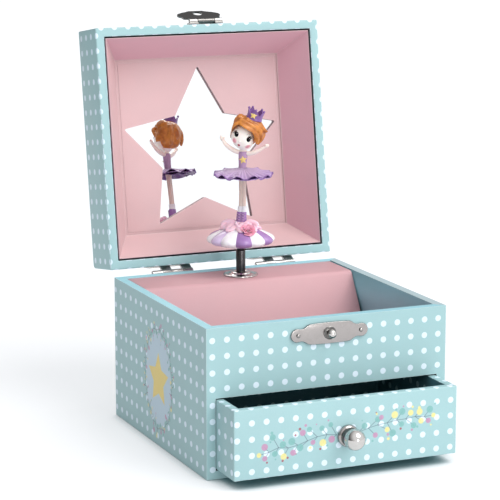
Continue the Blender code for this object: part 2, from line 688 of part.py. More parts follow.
def build_bedplate(zinc):
    """One zinc casting: back plate, bearing shelf, top lug, comb block and governor post."""
    back = INNER_Y - GAP
    face = back - PLATE_THICKNESS
    low = KEY_Z - HOUSING_RADIUS - 3.0
    plate_box = box((-27, face, low), (24, back, 84.0))
    bed = place("movement_bedplate", plate_box, zinc)
    join(bed, box((-22.5, 47.5, SHELF_LOW), (22.0, 56.4, SHELF_HIGH)))
    join(bed, box((WORM_X - 3.0, ARM_FRONT, SHELF_LOW - 3.0), (WORM_X + 3.0, 55.0, SHELF_LOW + 0.4)))
    for start, end in ((-22.5, -14.6), (14.6, 22.0)):
        join(bed, box((start, 55.0, SHELF_LOW), (end, face + 1, SHELF_HIGH)))
    join(bed, box((-6.0, 48.5, LUG_LOW), (13.4, face + 1, LUG_HIGH)))
    join(bed, box((-26.5, COMB_Y + COMB_THICKNESS + GAP, 57.0), (-14.0, face + 1, 79.2)))
    join(bed, box((WORM_X - 3.0, ARM_FRONT, SHELF_LOW - 1), (WORM_X + 3.0, 39.0, WORM_Z + 3.4)))
    cut(bed, rod(HOUSING_RADIUS + GAP, face - 2, 8, (0, 0, KEY_Z), "Y", 32))
    for x in (0.0, IDLER_X):
        cut(bed, rod(ARBOR_RADIUS + GAP, SHELF_LOW - 1, 6, (x, POST_Y, 0), "Z", 14))
        cut(bed, rod(ARBOR_RADIUS + GAP, LUG_LOW - 1, 6, (x, POST_Y, 0), "Z", 14))
    cut(bed, rod(WORM_SHAFT_RADIUS + GAP, 34, 8, (WORM_X, 0, WORM_Z), "Y", 12))
    cut(bed, rod(WORM_SHAFT_RADIUS + GAP, face - 2, 8, (WORM_X, 0, WORM_Z), "Y", 12))
    for z in COMB_SCREW_Z:
        cut(bed, rod(COMB_SCREW_RADIUS + GAP, COMB_Y, 9, (COMB_SCREW_X, 0, z), "Y", 12))
    for x in (-MOUNT_SCREW_X, MOUNT_SCREW_X):
        cut(bed, rod(SCREW_RADIUS + GAP, face - 2, 8, (x, 0, MOUNT_SCREW_Z), "Y", 12))


def build_spring(steel, zinc):
    """The open-fronted spring housing, and the mainspring coiled inside it."""
    back = INNER_Y - GAP
    profile = [
        (ARBOR_RADIUS + 0.7, back - 1.0),
        (HOUSING_RADIUS - 1.2, back - 1.0),
        (HOUSING_RADIUS - 1.2, HOUSING_FRONT),
        (HOUSING_RADIUS, HOUSING_FRONT),
        (HOUSING_RADIUS, back),
        (ARBOR_RADIUS + 0.7, back),
    ]
    place("spring_housing", turned(profile, (0, 0, KEY_Z), "Y", 32), zinc, smooth=True)

    turns = 4
    per_turn = 18
    inner = 3.4
    outer = HOUSING_RADIUS - 2.2
    middle = []
    for i in range(turns * per_turn + 1):
        share = i / (turns * per_turn)
        angle = math.tau * turns * share
        radius = inner + (outer - inner) * share
        middle.append((radius, angle))
    strip = 0.25
    points = [((r + strip) * math.cos(a), (r + strip) * math.sin(a)) for r, a in middle]
    points += [((r - strip) * math.cos(a), (r - strip) * math.sin(a)) for r, a in reversed(middle)]
    spring = ribbon([(a, b + KEY_Z) for a, b in points], HOUSING_FRONT + 0.6, back - 1.6)
    place("mainspring", spring, steel)


def ribbon(outline, low, high):
    """A thin strip that follows an outline in (x, z), closed by quads between its two sides."""
    half = len(outline) // 2
    bm = bmesh.new()
    sides = []
    for y in (low, high):
        sides.append([bm.verts.new((x, y, z)) for x, z in outline])
    count = len(outline)
    for i in range(count):
        n = (i + 1) % count
        bm.faces.new((sides[0][i], sides[0][n], sides[1][n], sides[1][i]))
    for side in sides:
        for i in range(half - 1):
            bm.faces.new((side[i], side[i + 1], side[count - 2 - i], side[count - 1 - i]))
    return bm


def build_spindle(steel, brass, spindle):
    profile = [
        (0, SHELF_LOW + 0.2),
        (ARBOR_RADIUS, SHELF_LOW + 0.2),
        (ARBOR_RADIUS, LUG_HIGH + 0.5),
        (POST_RADIUS, LUG_HIGH + 0.7),
        (POST_RADIUS, POST_TOP),
        (0, POST_TOP),
    ]
    place("figure_post", turned(profile, DANCER, "Z", 20), steel, parent=spindle, smooth=True)
    magnet = rod(POST_RADIUS - 0.2, POST_TOP + GAP, MAGNET_HEIGHT, DANCER, "Z", 20)
    place("post_magnet", magnet, material("black_magnet", (0.03, 0.03, 0.035), 0.4, 0.6),
          parent=spindle, smooth=True)

    outline = gear_outline(CYLINDER_TEETH, GEAR_PITCH_RADIUS, TOOTH_ABOVE, TOOTH_BELOW, 0.35, 90)
    low = GEAR_Z - GEAR_THICKNESS / 2
    gear = plate(moved(outline, 0, POST_Y), low, low + GEAR_THICKNESS, "Z")
    gear = place("cylinder_gear", gear, brass, parent=spindle)
    cut(gear, rod(ARBOR_RADIUS + GAP, low - 1, GEAR_THICKNESS + 2, DANCER, "Z", 14))

    place("pin_cylinder", pinned_cylinder(), brass, parent=spindle)


def pinned_cylinder():
    """The tune cylinder: a tube of square facets, with a short pin on the facets of the tune."""
    around = CYLINDER_FACETS
    rows = COMB_NOTES
    height = CYLINDER_HIGH - CYLINDER_LOW
    bm = bmesh.new()
    bore = ARBOR_RADIUS + GAP
    rings = []
    heights = [CYLINDER_LOW + height * k / rows for k in range(rows + 1)]
    levels = [(bore, heights[0])] + [(CYLINDER_RADIUS, z) for z in heights] + [(bore, heights[-1])]
    for radius, z in levels:
        ring = []
        for i in range(around):
            angle = math.tau * i / around
            ring.append(bm.verts.new((radius * math.cos(angle), POST_Y + radius * math.sin(angle), z)))
        rings.append(ring)
    tune = []
    for k in range(len(rings)):
        lower = rings[k]
        upper = rings[(k + 1) % len(rings)]
        for i in range(around):
            n = (i + 1) % around
            face = bm.faces.new((lower[i], lower[n], upper[n], upper[i]))
            row = k - 1
            if 0 <= row < rows and (7 * i + 5 * row * row) % 17 == 0:
                tune.append(face)
    bmesh.ops.recalc_face_normals(bm, faces=bm.faces)
    bmesh.ops.inset_individual(bm, faces=tune, thickness=PIN_MARGIN, depth=0.0)
    bmesh.ops.inset_individual(bm, faces=tune, thickness=PIN_TAPER, depth=PIN_PROUD)
    return bm


def build_comb(steel):
    pitch = (CYLINDER_HIGH - CYLINDER_LOW - 2 * COMB_END_MARGIN) / COMB_NOTES
    low = CYLINDER_LOW + COMB_END_MARGIN
    high = low + pitch * COMB_NOTES
    root_x = COMB_ROOT_X
    tip_x = -CYLINDER_RADIUS - COMB_TIP_GAP
    outline = [(COMB_BACK_X, low - 1.0), (root_x, low - 1.0)]
    for i in range(COMB_NOTES):
        z = low + pitch * (i + 0.5)
        half = pitch * 0.32
        outline += [(root_x, z - half), (tip_x, z - half * 0.7), (tip_x, z + half * 0.7),
                    (root_x, z + half)]
    outline += [(root_x, high + 1.0), (COMB_BACK_X, high + 1.0)]
    comb = place("music_comb", plate(outline, COMB_Y, COMB_Y + COMB_THICKNESS, "Y"), steel)
    seat = COMB_Y - GAP
    radius = COMB_SCREW_RADIUS
    for z, name in zip(COMB_SCREW_Z, ("comb_screw_low", "comb_screw_high")):
        cut(comb, rod(radius + GAP, COMB_Y - 1, 4, (COMB_SCREW_X, 0, z), "Y", 12))
        screw = [(0, seat - 1.4), (2 * radius - 0.4, seat - 1.4), (2 * radius, seat - 1.0),
                 (2 * radius, seat), (radius, seat), (radius, COMB_Y + 7.5), (0, COMB_Y + 8)]
        place(name, turned(screw, (COMB_SCREW_X, 0, z), "Y", 14), steel, smooth=True)


def build_great_wheel(steel, brass, winder):
    """The contrate wheel on the winding arbor, and the butterfly key outside the back."""
    disc = rod(GREAT_PITCH_RADIUS + 0.9, WHEEL_FRONT, WHEEL_THICKNESS, (0, 0, KEY_Z), "Y", 36)
    wheel = place("great_wheel", disc, brass, parent=winder)
    step = math.tau / GREAT_TEETH
    width = GREAT_PITCH_RADIUS * step * 0.35 / 2
    ring = bmesh.new()
    for i in range(GREAT_TEETH):
        angle = (i + 0.5) * step + math.pi / 2
        turn = Matrix.Rotation(-angle, 4, "Y")
        tooth = []
        for y, half in ((WHEEL_FRONT + 0.4, width * 1.2), (CONTRATE_TIP, width * 0.7)):
            for x in (GREAT_PITCH_RADIUS - 1.1, GREAT_PITCH_RADIUS + 0.8):
                for z in (-half, half):
                    tooth.append(ring.verts.new(turn @ Vector((x, y, z))))
        for quad in ((0, 1, 3, 2), (4, 6, 7, 5), (0, 2, 6, 4), (1, 5, 7, 3), (0, 4, 5, 1),
                     (2, 3, 7, 6)):
            ring.faces.new([tooth[k] for k in quad])
    bmesh.ops.translate(ring, vec=(0, 0, KEY_Z), verts=ring.verts)
    join(wheel, ring)
    join(wheel, rod(ARBOR_RADIUS, WHEEL_FRONT - 0.6, 22.5, (0, 0, KEY_Z), "Y", 14))

    hub = HALF_D + KEY_STAND_OFF
    profile = [(ARBOR_RADIUS + GAP, hub), (3.4, hub), (3.4, hub + 7.5), (2.6, hub + 9.5),
               (0, hub + 9.5), (0, hub + 8.0), (ARBOR_RADIUS + GAP, hub + 8.0)]
    key = place("winding_key", turned(profile, (0, 0, KEY_Z), "Y", 20), steel, parent=winder)
    wing_y = hub + 11.0
    for side in (-1, 1):
        outline = arc((side * WING_X, wing_y), WING_RADIUS, 0, 360, 14)[:-1]
        join(key, plate(outline, KEY_Z - KEY_BLADE_HALF, KEY_Z + KEY_BLADE_HALF, "Z"))
    join(key, box((-6.0, hub + 6.6, KEY_Z - KEY_BLADE_HALF), (6.0, hub + 12.0, KEY_Z + KEY_BLADE_HALF)))


def build_governor(steel, brass, idler, governor):
    pinion = gear_outline(PINION_TEETH, PINION_PITCH_RADIUS, 0.4, 0.75, 0.33, 180)
    low = GEAR_Z - GEAR_THICKNESS / 2 - 0.3
    body = plate(moved(pinion, IDLER_X, POST_Y), low, low + GEAR_THICKNESS + 0.6, "Z")
    body = place("intermediate_wheel", body, brass, parent=idler)
    wheel = gear_outline(WORM_WHEEL_TEETH, WORM_WHEEL_PITCH_RADIUS, 0.4, 0.6, 0.33, 9.0)
    join(body, plate(moved(wheel, IDLER_X, POST_Y), WORM_Z - 0.9, WORM_Z + 0.9, "Z"))
    shaft = rod(ARBOR_RADIUS, SHELF_LOW + 0.2, LUG_HIGH - SHELF_LOW - 0.4, (IDLER_X, POST_Y, 0))
    join(body, shaft)

    back = INNER_Y - GAP
    axis = (WORM_X, 0, WORM_Z)
    worm = rod(WORM_SHAFT_RADIUS, 36.8, back - 0.4 - 36.8, axis, "Y", 10)
    worm = place("governor_worm", worm, steel, parent=governor)
    join(worm, rod(WORM_RADIUS - 0.55, POST_Y - 4.2, 8.4, axis, "Y", 12))
    join(worm, worm_thread(axis))

    fan = rod(1.5, 40.0, 5.4, axis, "Y", 12)
    fan = place("governor_fan", fan, material("fan_nylon", (0.85, 0.84, 0.80), 0.5),
                parent=governor)
    join(fan, box((WORM_X - FAN_RADIUS, 40.4, WORM_Z - 0.35), (WORM_X + FAN_RADIUS, 45.0, WORM_Z + 0.35)))
    cut(fan, rod(WORM_SHAFT_RADIUS + GAP, 38, 10, axis, "Y", 10))


def worm_thread(axis):
    """A right-handed helical ridge about Y, one module of pi per turn, centred on the wheel."""
    pitch = math.pi * WORM_MODULE
    turns = 4.0
    per_turn = 16
    count = int(turns * per_turn)
    base_half = 0.36
    tip_half = 0.16
    bm = bmesh.new()
    last = None
    first = None
    for i in range(count + 1):
        angle = math.tau * i / per_turn
        y = POST_Y + pitch * (i / per_turn - turns / 2 + 0.25)
        across = Vector((math.sin(angle), 0, math.cos(angle)))
        rim = []
        for radius, shift in ((WORM_RADIUS - 0.75, -base_half), (WORM_RADIUS + 0.35, -tip_half),
                              (WORM_RADIUS + 0.35, tip_half), (WORM_RADIUS - 0.75, base_half)):
            point = Vector((axis[0], y + shift, axis[2])) + across * radius
            rim.append(bm.verts.new(point))
        if last:
            for k in range(4):
                n = (k + 1) % 4
                bm.faces.new((last[k], last[n], rim[n], rim[k]))
        else:
            first = rim
        last = rim
    bm.faces.new(first)
    bm.faces.new(list(reversed(last)))
    return bm


def build_mount_screws(steel):
    seat = HALF_D + GAP
    for x, name in ((-MOUNT_SCREW_X, "movement_screw_left"), (MOUNT_SCREW_X, "movement_screw_right")):
        profile = [(0, INNER_Y - 2.6), (SCREW_RADIUS, INNER_Y - 2.2), (SCREW_RADIUS, seat),
                   (3.0, seat), (2.6, seat + 0.9), (1.2, seat + 1.4), (0, seat + 1.4)]
        place(name, turned(profile, (x, 0, MOUNT_SCREW_Z), "Y", 14), steel, smooth=True)


# ---------------------------------------------------------------- the dancer

def dancer_point(x, y, z):
    """A point in the dancer's own frame, facing -Y, turned to her rest heading."""
    turn = Matrix.Rotation(math.radians(DANCER_TURN_DEG), 4, "Z")
    return DANCER + turn @ Vector((x, y, z))


def face_front(bm):
    turn = Matrix.Translation(DANCER) @ Matrix.Rotation(math.radians(DANCER_TURN_DEG), 4, "Z")
    bmesh.ops.transform(bm, matrix=turn, verts=bm.verts)
    return bm


def build_dancer(lift, dancer):
    skin = material("skin_vinyl", (0.85, 0.62, 0.50), 0.45)
    lilac = material("lilac_vinyl", (0.55, 0.36, 0.66), 0.4)
    hair_look = material("hair_vinyl", (0.72, 0.25, 0.05), 0.4)

    seat = POST_TOP + MAGNET_HEIGHT + 2 * GAP
    magnet = rod(BASE_MAGNET_RADIUS, seat, BASE_MAGNET_HEIGHT, DANCER, "Z", 20)
    place("base_magnet", magnet, material("black_magnet", (0.03, 0.03, 0.035), 0.4, 0.6),
          parent=lift, smooth=True)

    roof = seat + BASE_MAGNET_HEIGHT + GAP
    low = BASE_UNDERSIDE
    profile = [(BASE_BORE_RADIUS, low), (BASE_RADIUS - 2.6, low), (BASE_RADIUS - 0.3, low + 1.6),
               (BASE_RADIUS, low + 3.6), (BASE_RADIUS - 1.6, low + 6.0), (15.0, low + 9.6),
               (9.5, low + 12.6), (4.4, low + 14.0), (0, low + 14.2), (0, roof),
               (BASE_BORE_RADIUS, roof)]
    base = place("figure_base", turned(profile, DANCER, "Z", 32), lilac, parent=dancer, smooth=True)
    foot = low + 14.2 - 2.0
    cut(base, face_front(ball((3.9, 3.2, 2.2), (0, 0, foot + 2.4), 14, 8)))

    hips = 153.5
    body = limb((0.2, 0, 128.0), (0.8, 0, 149.0), 2.6, 2.7)
    body = place("figure_body", face_front(body), skin, parent=dancer)
    sole = foot + 2.5
    join(body, face_front(limb((0, 0, sole), (0.2, 0, 129.0), 3.3, 3.1)))
    join(body, face_front(limb((0.8, 0, 147.0), (1.0, 0, 158.0), 3.1, 2.9)))
    join(body, face_front(limb((1.0, 0, 157.0), (1.1, 0, 165.2), 2.8, 3.2)))
    join(body, face_front(limb((1.1, 0, 163.0), (1.2, 0, 169.0), 1.6, 1.6)))
    join(body, face_front(ball(HEAD_RADII, HEAD_CENTRE, 20, 12)))
    join(body, face_front(limb((-1.4, 0, 163.6), (-8.2, -1.2, 166.8), 1.25, 1.05)))
    join(body, face_front(limb((-7.8, -1.1, 166.3), (-12.0, -2.0, 173.6), 1.05, 0.9)))
    join(body, face_front(limb((3.4, 0, 163.6), (10.4, -1.2, 164.6), 1.25, 1.05)))
    join(body, face_front(limb((10.0, -1.1, 164.3), (16.6, -2.0, 167.8), 1.05, 0.9)))

    skirt = [(3.7, hips - 0.6), (8.0, hips - 2.2), (14.0, hips - 3.4), (TUTU_RADIUS, hips - 4.0),
             (TUTU_RADIUS, hips - 5.4), (13.0, hips - 5.4), (7.0, hips - 4.6), (3.7, hips - 3.4)]
    place("tutu", face_front(turned(skirt, (0.8, 0, 0), "Z", 32)), lilac, parent=dancer, smooth=True)

    hair = ball(HAIR_RADII, HAIR_CENTRE, 20, 12)
    hair = place("figure_hair", face_front(hair), hair_look, parent=dancer)
    clear = [radius + HEAD_CLEARANCE for radius in HEAD_RADII]
    cut(hair, face_front(ball(clear, HEAD_CENTRE, 20, 12)))
    cut(hair, face_front(box((-9.0, -16.0, 160.0), (8.2, -2.6, 177.6))))
    cut(hair, face_front(box((-9.0, -16.0, 160.0), (4.2, 20.0, 168.4))))

    tilt = Matrix.Translation((8.3, 1.0, 183.6)) @ Matrix.Rotation(math.radians(CROWN_TILT_DEG), 4, "Y")
    crown = turned([(4.0, 0), (5.0, 0), (5.6, 6.2), (4.7, 6.2)], (0, 0, 0), "Z", 20)
    bmesh.ops.transform(crown, matrix=tilt, verts=crown.verts)
    crown = place("figure_crown", face_front(crown), lilac, parent=dancer)
    for i in range(CROWN_NOTCHES):
        spread = math.tau * i / CROWN_NOTCHES
        notch = box((-1.1, 3.6, 4.2), (1.1, 7.0, 8.0))
        bmesh.ops.rotate(notch, cent=(0, 0, 0), matrix=Matrix.Rotation(spread, 3, "Z"),
                         verts=notch.verts)
        bmesh.ops.transform(notch, matrix=tilt, verts=notch.verts)
        cut(crown, face_front(notch))
    clear = [radius + HEAD_CLEARANCE for radius in HAIR_RADII]
    cut(crown, face_front(ball(clear, HAIR_CENTRE, 20, 12)))


# ---------------------------------------------------------------- the whole object

def main():
    clear_scene()
    paper = material("dotted_paper", PAPER_BLUE, 0.6)
    nickel = material("nickel", (0.62, 0.60, 0.57), 0.25, 1.0)
    steel = material("steel", (0.35, 0.35, 0.36), 0.3, 1.0)
    brass = material("brass", (0.75, 0.56, 0.25), 0.3, 1.0)
    zinc = material("zinc_casting", (0.55, 0.56, 0.57), 0.5, 1.0)

    lid = pivot("lid_pivot", HINGE)
    hasp = pivot("hasp_pivot", HASP, lid, HINGE)
    drawer = pivot("drawer_pivot", (0, -HALF_D, 0))
    spindle = pivot("spindle_pivot", DANCER)
    winder = pivot("winder_pivot", (0, HALF_D, KEY_Z))
    idler = pivot("idler_pivot", (IDLER_X, POST_Y, WORM_Z))
    governor = pivot("governor_pivot", (WORM_X, POST_Y, WORM_Z))
    lift = pivot("lift_pivot", DANCER)
    dancer = pivot("dancer_pivot", DANCER, lift, DANCER)

    build_carcass(paper)
    build_cover(nickel)
    build_catch(nickel)
    build_hinges(nickel, lid)
    build_lid(paper, lid)
    build_hasp(nickel, lid, hasp)
    build_drawer(paper, nickel, drawer)
    build_bedplate(zinc)
    build_spring(steel, zinc)
    build_spindle(steel, brass, spindle)
    build_comb(steel)
    build_great_wheel(steel, brass, winder)
    build_governor(steel, brass, idler, governor)
    build_mount_screws(steel)
    build_dancer(lift, dancer)

    # Rest pose: lid open, hasp folded back, drawer part way out.
    lid.rotation_euler.x = math.radians(-LID_OPEN_DEG)
    hasp.rotation_euler.x = math.radians(-HASP_FOLD_DEG)
    drawer.location.y -= DRAWER_OUT * MM


main()
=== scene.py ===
"""A paper-covered music jewellery box with a dancer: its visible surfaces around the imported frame."""
import json
import math
import random

import bpy
import bmesh
from mathutils import Matrix, Vector


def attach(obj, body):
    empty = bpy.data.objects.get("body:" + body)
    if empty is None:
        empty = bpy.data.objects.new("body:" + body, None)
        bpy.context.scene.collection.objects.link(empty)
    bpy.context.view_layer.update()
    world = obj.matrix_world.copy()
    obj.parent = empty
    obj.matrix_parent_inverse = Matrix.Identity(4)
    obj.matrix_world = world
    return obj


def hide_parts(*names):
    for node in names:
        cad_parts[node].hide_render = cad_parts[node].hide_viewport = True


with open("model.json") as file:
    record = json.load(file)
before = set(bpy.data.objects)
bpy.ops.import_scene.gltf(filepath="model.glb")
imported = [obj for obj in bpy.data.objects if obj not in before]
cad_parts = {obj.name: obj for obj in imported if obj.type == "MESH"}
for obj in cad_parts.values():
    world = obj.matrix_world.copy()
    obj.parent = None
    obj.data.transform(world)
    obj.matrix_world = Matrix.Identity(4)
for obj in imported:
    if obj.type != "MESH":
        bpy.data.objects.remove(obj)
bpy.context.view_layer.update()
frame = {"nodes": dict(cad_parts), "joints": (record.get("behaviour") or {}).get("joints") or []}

MM = 0.001
METRES = Matrix.Diagonal((MM, MM, MM, 1.0))
STAY = Matrix.Identity(4)
nodes = frame["nodes"]
joints = {joint["name"]: joint for joint in frame["joints"]}


# ---------------------------------------------------------------- places, all from the frame

def swing(point, degrees):
    """A turn about an axis along X through a point in millimetres."""
    return Matrix.Translation(point) @ rotate(degrees, "X") @ Matrix.Translation(-point)


def rotate(degrees, axis):
    return Matrix.Rotation(math.radians(degrees), 4, axis)


def move(*place):
    return Matrix.Translation(place)


def extent(node, pose=STAY):
    """Lowest and highest corner of a CAD node in millimetres, with its part of the box shut."""
    back = pose.inverted()
    points = [back @ (vertex.co / MM) for vertex in nodes[node].data.vertices]
    low, high = (Vector([pick(p[i] for p in points) for i in range(3)]) for pick in (min, max))
    return low, high


def middle(node, pose=STAY):
    low, high = extent(node, pose)
    return (low + high) / 2


HINGE = Vector(joints["lid_hinge"]["pos_m"]) / MM
LID = swing(HINGE, -joints["lid_hinge"]["range_deg"][1])
DRAWER = move(0, joints["drawer_slide"]["range_m"][0] / MM, 0)
KEY_Z = joints["winding_arbor"]["pos_m"][2] / MM
side_low, side_high = extent("right_side_panel")
HALF_W, HALF_D, BODY_TOP = side_high
WALL = side_high.x - side_low.x
IN_X = HALF_W - WALL
IN_Y = HALF_D - WALL
FRONT_LOW = extent("front_panel")[0].z
BASE_TOP = extent("base_panel")[1].z
lid_low, lid_high = extent("lid_right_wall", LID)
RIM = lid_low.z
LID_TOP = lid_high.z
LID_CEILING = extent("lid_top_panel", LID)[0].z
POST_Y = middle("figure_post").y
POST_R = extent("post_magnet")[1].x
TURN = -33.0
DANCER = move(0, POST_Y, 0) @ rotate(TURN, "Z")


# ---------------------------------------------------------------- materials

class Look:
    """A node material, built one link at a time. Lengths in it are millimetres."""

    def __init__(self, name):
        self.material = bpy.data.materials.new(name)
        self.material.use_nodes = True
        self.tree = self.material.node_tree
        self.shader = self.tree.nodes["Principled BSDF"]
        place = self.node("TexCoord").outputs["Object"]
        self.place = self.vector("SCALE", place, scale=1.0 / MM)

    def node(self, kind, **inputs):
        made = self.tree.nodes.new("ShaderNode" + kind)
        for name, value in inputs.items():
            self.feed(made.inputs[name.replace("_", " ")], value)
        return made

    def feed(self, socket, value):
        if isinstance(value, bpy.types.NodeSocket):
            self.tree.links.new(value, socket)
        else:
            socket.default_value = value

    def set(self, **values):
        for name, value in values.items():
            self.feed(self.shader.inputs[name.replace("_", " ")], value)
        return self.material

    def math(self, operation, *values, clamp=False):
        node = self.node("Math")
        node.operation = operation
        node.use_clamp = clamp
        for socket, value in zip(node.inputs, values):
            self.feed(socket, value)
        return node.outputs[0]

    def add(self, a, b):
        return self.math("ADD", a, b)

    def sub(self, a, b):
        return self.math("SUBTRACT", a, b)

    def mul(self, a, b):
        return self.math("MULTIPLY", a, b)

    def span(self, a, b):
        """The length of the hypotenuse."""
        return self.math("SQRT", self.add(self.mul(a, a), self.mul(b, b)))

    def vector(self, operation, *values, scale=None):
        node = self.node("VectorMath")
        node.operation = operation
        for socket, value in zip(node.inputs, values):
            self.feed(socket, value)
        if scale is not None:
            self.feed(node.inputs["Scale"], scale)
        return node.outputs["Value" if operation in ("LENGTH", "DOT_PRODUCT") else "Vector"]

    def split(self, vector):
        node = self.node("SeparateXYZ")
        self.feed(node.inputs[0], vector)
        return node.outputs[0], node.outputs[1], node.outputs[2]

    def mix(self, share, low, high):
        node = self.node("Mix")
        node.data_type = "RGBA"
        for socket, value in ((0, share), (6, low), (7, high)):
            if isinstance(value, tuple) and len(value) == 3:
                value = (*value, 1.0)
            self.feed(node.inputs[socket], value)
        return node.outputs[2]

    def tint(self, share, most, low, high):
        """Mix, with at most a part of the high colour."""
        return self.mix(self.mul(share, most), low, high)

    def step(self, value, start, end):
        """0 up to start, 1 from end on, and smooth between."""
        node = self.node("MapRange")
        node.interpolation_type = "SMOOTHSTEP"
        for name, item in (("Value", value), ("From Min", start), ("From Max", end)):
            self.feed(node.inputs[name], item)
        return node.outputs[0]

    def noise(self, per_mm, detail=2.0, rough=0.5, stretch=None):
        place = self.vector("MULTIPLY", self.place, stretch) if stretch else self.place
        node = self.node("TexNoise", Vector=place, Scale=per_mm, Detail=detail, Roughness=rough)
        return node.outputs["Fac"]

    def uv(self, name):
        node = self.node("UVMap")
        node.uv_map = name
        return node.outputs[0]

    def random(self, value):
        """Three numbers from 0 to 1 that belong to a whole number."""
        node = self.node("TexWhiteNoise")
        node.noise_dimensions = "1D"
        self.feed(node.inputs["W"], value)
        return self.split(node.outputs["Color"])

    def bump(self, height, distance_mm):
        node = self.node("Bump", Height=height, Distance=distance_mm * MM, Strength=1.0)
        self.feed(self.shader.inputs["Normal"], node.outputs[0])

    def worn(self):
        """1 close to an edge, where a rounded normal leaves the flat one."""
        node = self.node("Bevel", Radius=0.7 * MM)
        node.samples = 3
        flat = self.node("NewGeometry").outputs["Normal"]
        return self.step(self.vector("DOT_PRODUCT", node.outputs[0], flat), 0.995, 0.90)


# The dots: their pitch across and up, and where the first one is on each part, in millimetres.
PITCH_U = 8.83
PITCH_V = 9.27
DOT_RADIUS = 1.78
FIRST_X = -71.4
BODY_FIRST = (-69.0, 79.8)
LID_FIRST_Y = -69.7
RIM_OFFSET = 0.2
DRAWER_FIRST = (-67.3, 37.8)

PAPER = (0.31, 0.495, 0.515)
PAPER_PLAIN = (0.45, 0.58, 0.615)
DOT_WHITE = (0.65, 0.77, 0.86)
# The drawer's inside: the dotted paper's ground and dots darkened to a near black teal, painted shade.
PAINTED_SHADE_DOT = (0.30, 0.44, 0.46)
PAINTED_SHADE_TEAL = (0.045, 0.15, 0.18)
PINK = (0.565, 0.315, 0.34)
PALE_PINK = (0.60, 0.395, 0.405)
TEAL = (0.16, 0.39, 0.37)
MAUVE = (0.46, 0.21, 0.36)
YELLOW = (0.75, 0.66, 0.22)
GOLD = (0.74, 0.58, 0.17)
TWIG = (0.07, 0.10, 0.14)
DARK_RED = (0.32, 0.04, 0.06)
SKY = (0.45, 0.58, 0.67)


def dots(look, colour, ink=DOT_WHITE):
    """White spots on a grid; the uv map counts columns and rows."""
    u, v, _ = look.split(look.uv("dots"))
    across = []
    for value, pitch in ((u, PITCH_U), (v, PITCH_V)):
        off = look.sub(look.math("FRACT", look.add(value, 0.5)), 0.5)
        across.append(look.mul(off, pitch))
    edge = look.add(look.span(*across), look.mul(look.noise(0.9, 1.0), 0.22))
    return look.mix(look.step(edge, DOT_RADIUS + 0.20, DOT_RADIUS), colour, ink)


def painted_shade_dots(look, colour):
    return dots(look, PAINTED_SHADE_TEAL, PAINTED_SHADE_DOT)


def sprigs(look, colour, s, t, cell, seed, spread, size, inks):
    """A row of berries on stalks: one in each cell along s, off the line t = 0."""
    count = look.math("FLOOR", look.math("DIVIDE", s, cell))
    one, two, three = look.random(look.add(count, seed))
    four, five, _ = look.random(look.add(count, seed + 71.3))
    ds = look.sub(s, look.mul(look.add(count, 0.5), cell))
    lean = look.mul(look.sub(one, 0.5), cell * 0.5)
    rise = look.mul(look.sub(two, 0.5), spread)
    far = look.span(look.sub(ds, lean), look.sub(t, rise))
    radius = look.math("MULTIPLY_ADD", three, size * 0.5, size * 0.7)
    run = look.add(look.mul(lean, lean), look.mul(rise, rise))
    along = look.math("DIVIDE", look.add(look.mul(ds, lean), look.mul(t, rise)), run, clamp=True)
    line = look.span(look.sub(ds, look.mul(lean, along)), look.sub(t, look.mul(rise, along)))
    colour = look.tint(look.step(line, 0.24, 0.1), 0.75, colour, TWIG)
    ink = look.mix(look.math("GREATER_THAN", four, 0.45), inks[0], inks[1])
    ink = look.mix(look.math("GREATER_THAN", five, 0.68), ink, inks[2])
    return look.tint(look.step(look.sub(far, radius), 0.1, -0.1), 0.92, colour, ink)


GARLAND_Z = 24.4
GARLAND_STEP = 5.9


def spray_plan():
    """Twigs and berries of the drawer's garland, in mm from the middle of its front."""
    draw = random.Random(23)
    twigs = []
    berries = []
    inks = (TEAL, TEAL, YELLOW, MAUVE)
    for side, rise in ((-1, -0.10), (1, 0.03)):
        here = Vector((side * 7.0, 1.0))
        for _ in range(8):
            climb = GARLAND_STEP * rise + draw.uniform(-1.6, 1.6)
            there = here + Vector((side * GARLAND_STEP, climb))
            twigs.append((here, there))
            for up in (1, -1):
                lean = math.radians(draw.uniform(28, 62)) * up
                length = draw.uniform(3.6, 7.6)
                end = here + Vector((side * math.cos(lean), math.sin(lean))) * length
                twigs.append((here, end))
                ink = draw.choice(inks)
                berries.append((end, draw.uniform(1.45, 2.1), ink))
                bud = end + Vector((draw.uniform(-3.6, 3.6), up * draw.uniform(2.2, 3.4)))
                size = draw.uniform(0.35, 0.95)
                berries.append((bud, size, draw.choice((TEAL, MAUVE, YELLOW, DARK_RED))))
            here = there
        berries.append((here, 1.4, YELLOW))
    return twigs, berries


def garland(look, colour):
    """A loose spray of stalks and berries along the middle of the drawer."""
    place = look.vector("MULTIPLY", look.uv("print"), (1.0, 1.0, 0.0))
    twigs, berries = spray_plan()
    for start, end in twigs:
        run = end - start
        way = (*run.normalized(), 0.0)
        off = look.vector("SUBTRACT", place, (*start, 0.0))
        along = look.math("MAXIMUM", look.vector("DOT_PRODUCT", off, way), 0.0)
        foot = look.vector("SCALE", way, scale=look.math("MINIMUM", along, run.length))
        line = look.vector("LENGTH", look.vector("SUBTRACT", off, foot))
        colour = look.tint(look.step(line, 0.30, 0.14), 0.62, colour, TWIG)
    for centre, radius, ink in berries:
        far = look.vector("LENGTH", look.vector("SUBTRACT", place, (*centre, 0.0)))
        colour = look.tint(look.step(far, radius + 0.1, radius - 0.1), 0.85, colour, ink)
    return colour


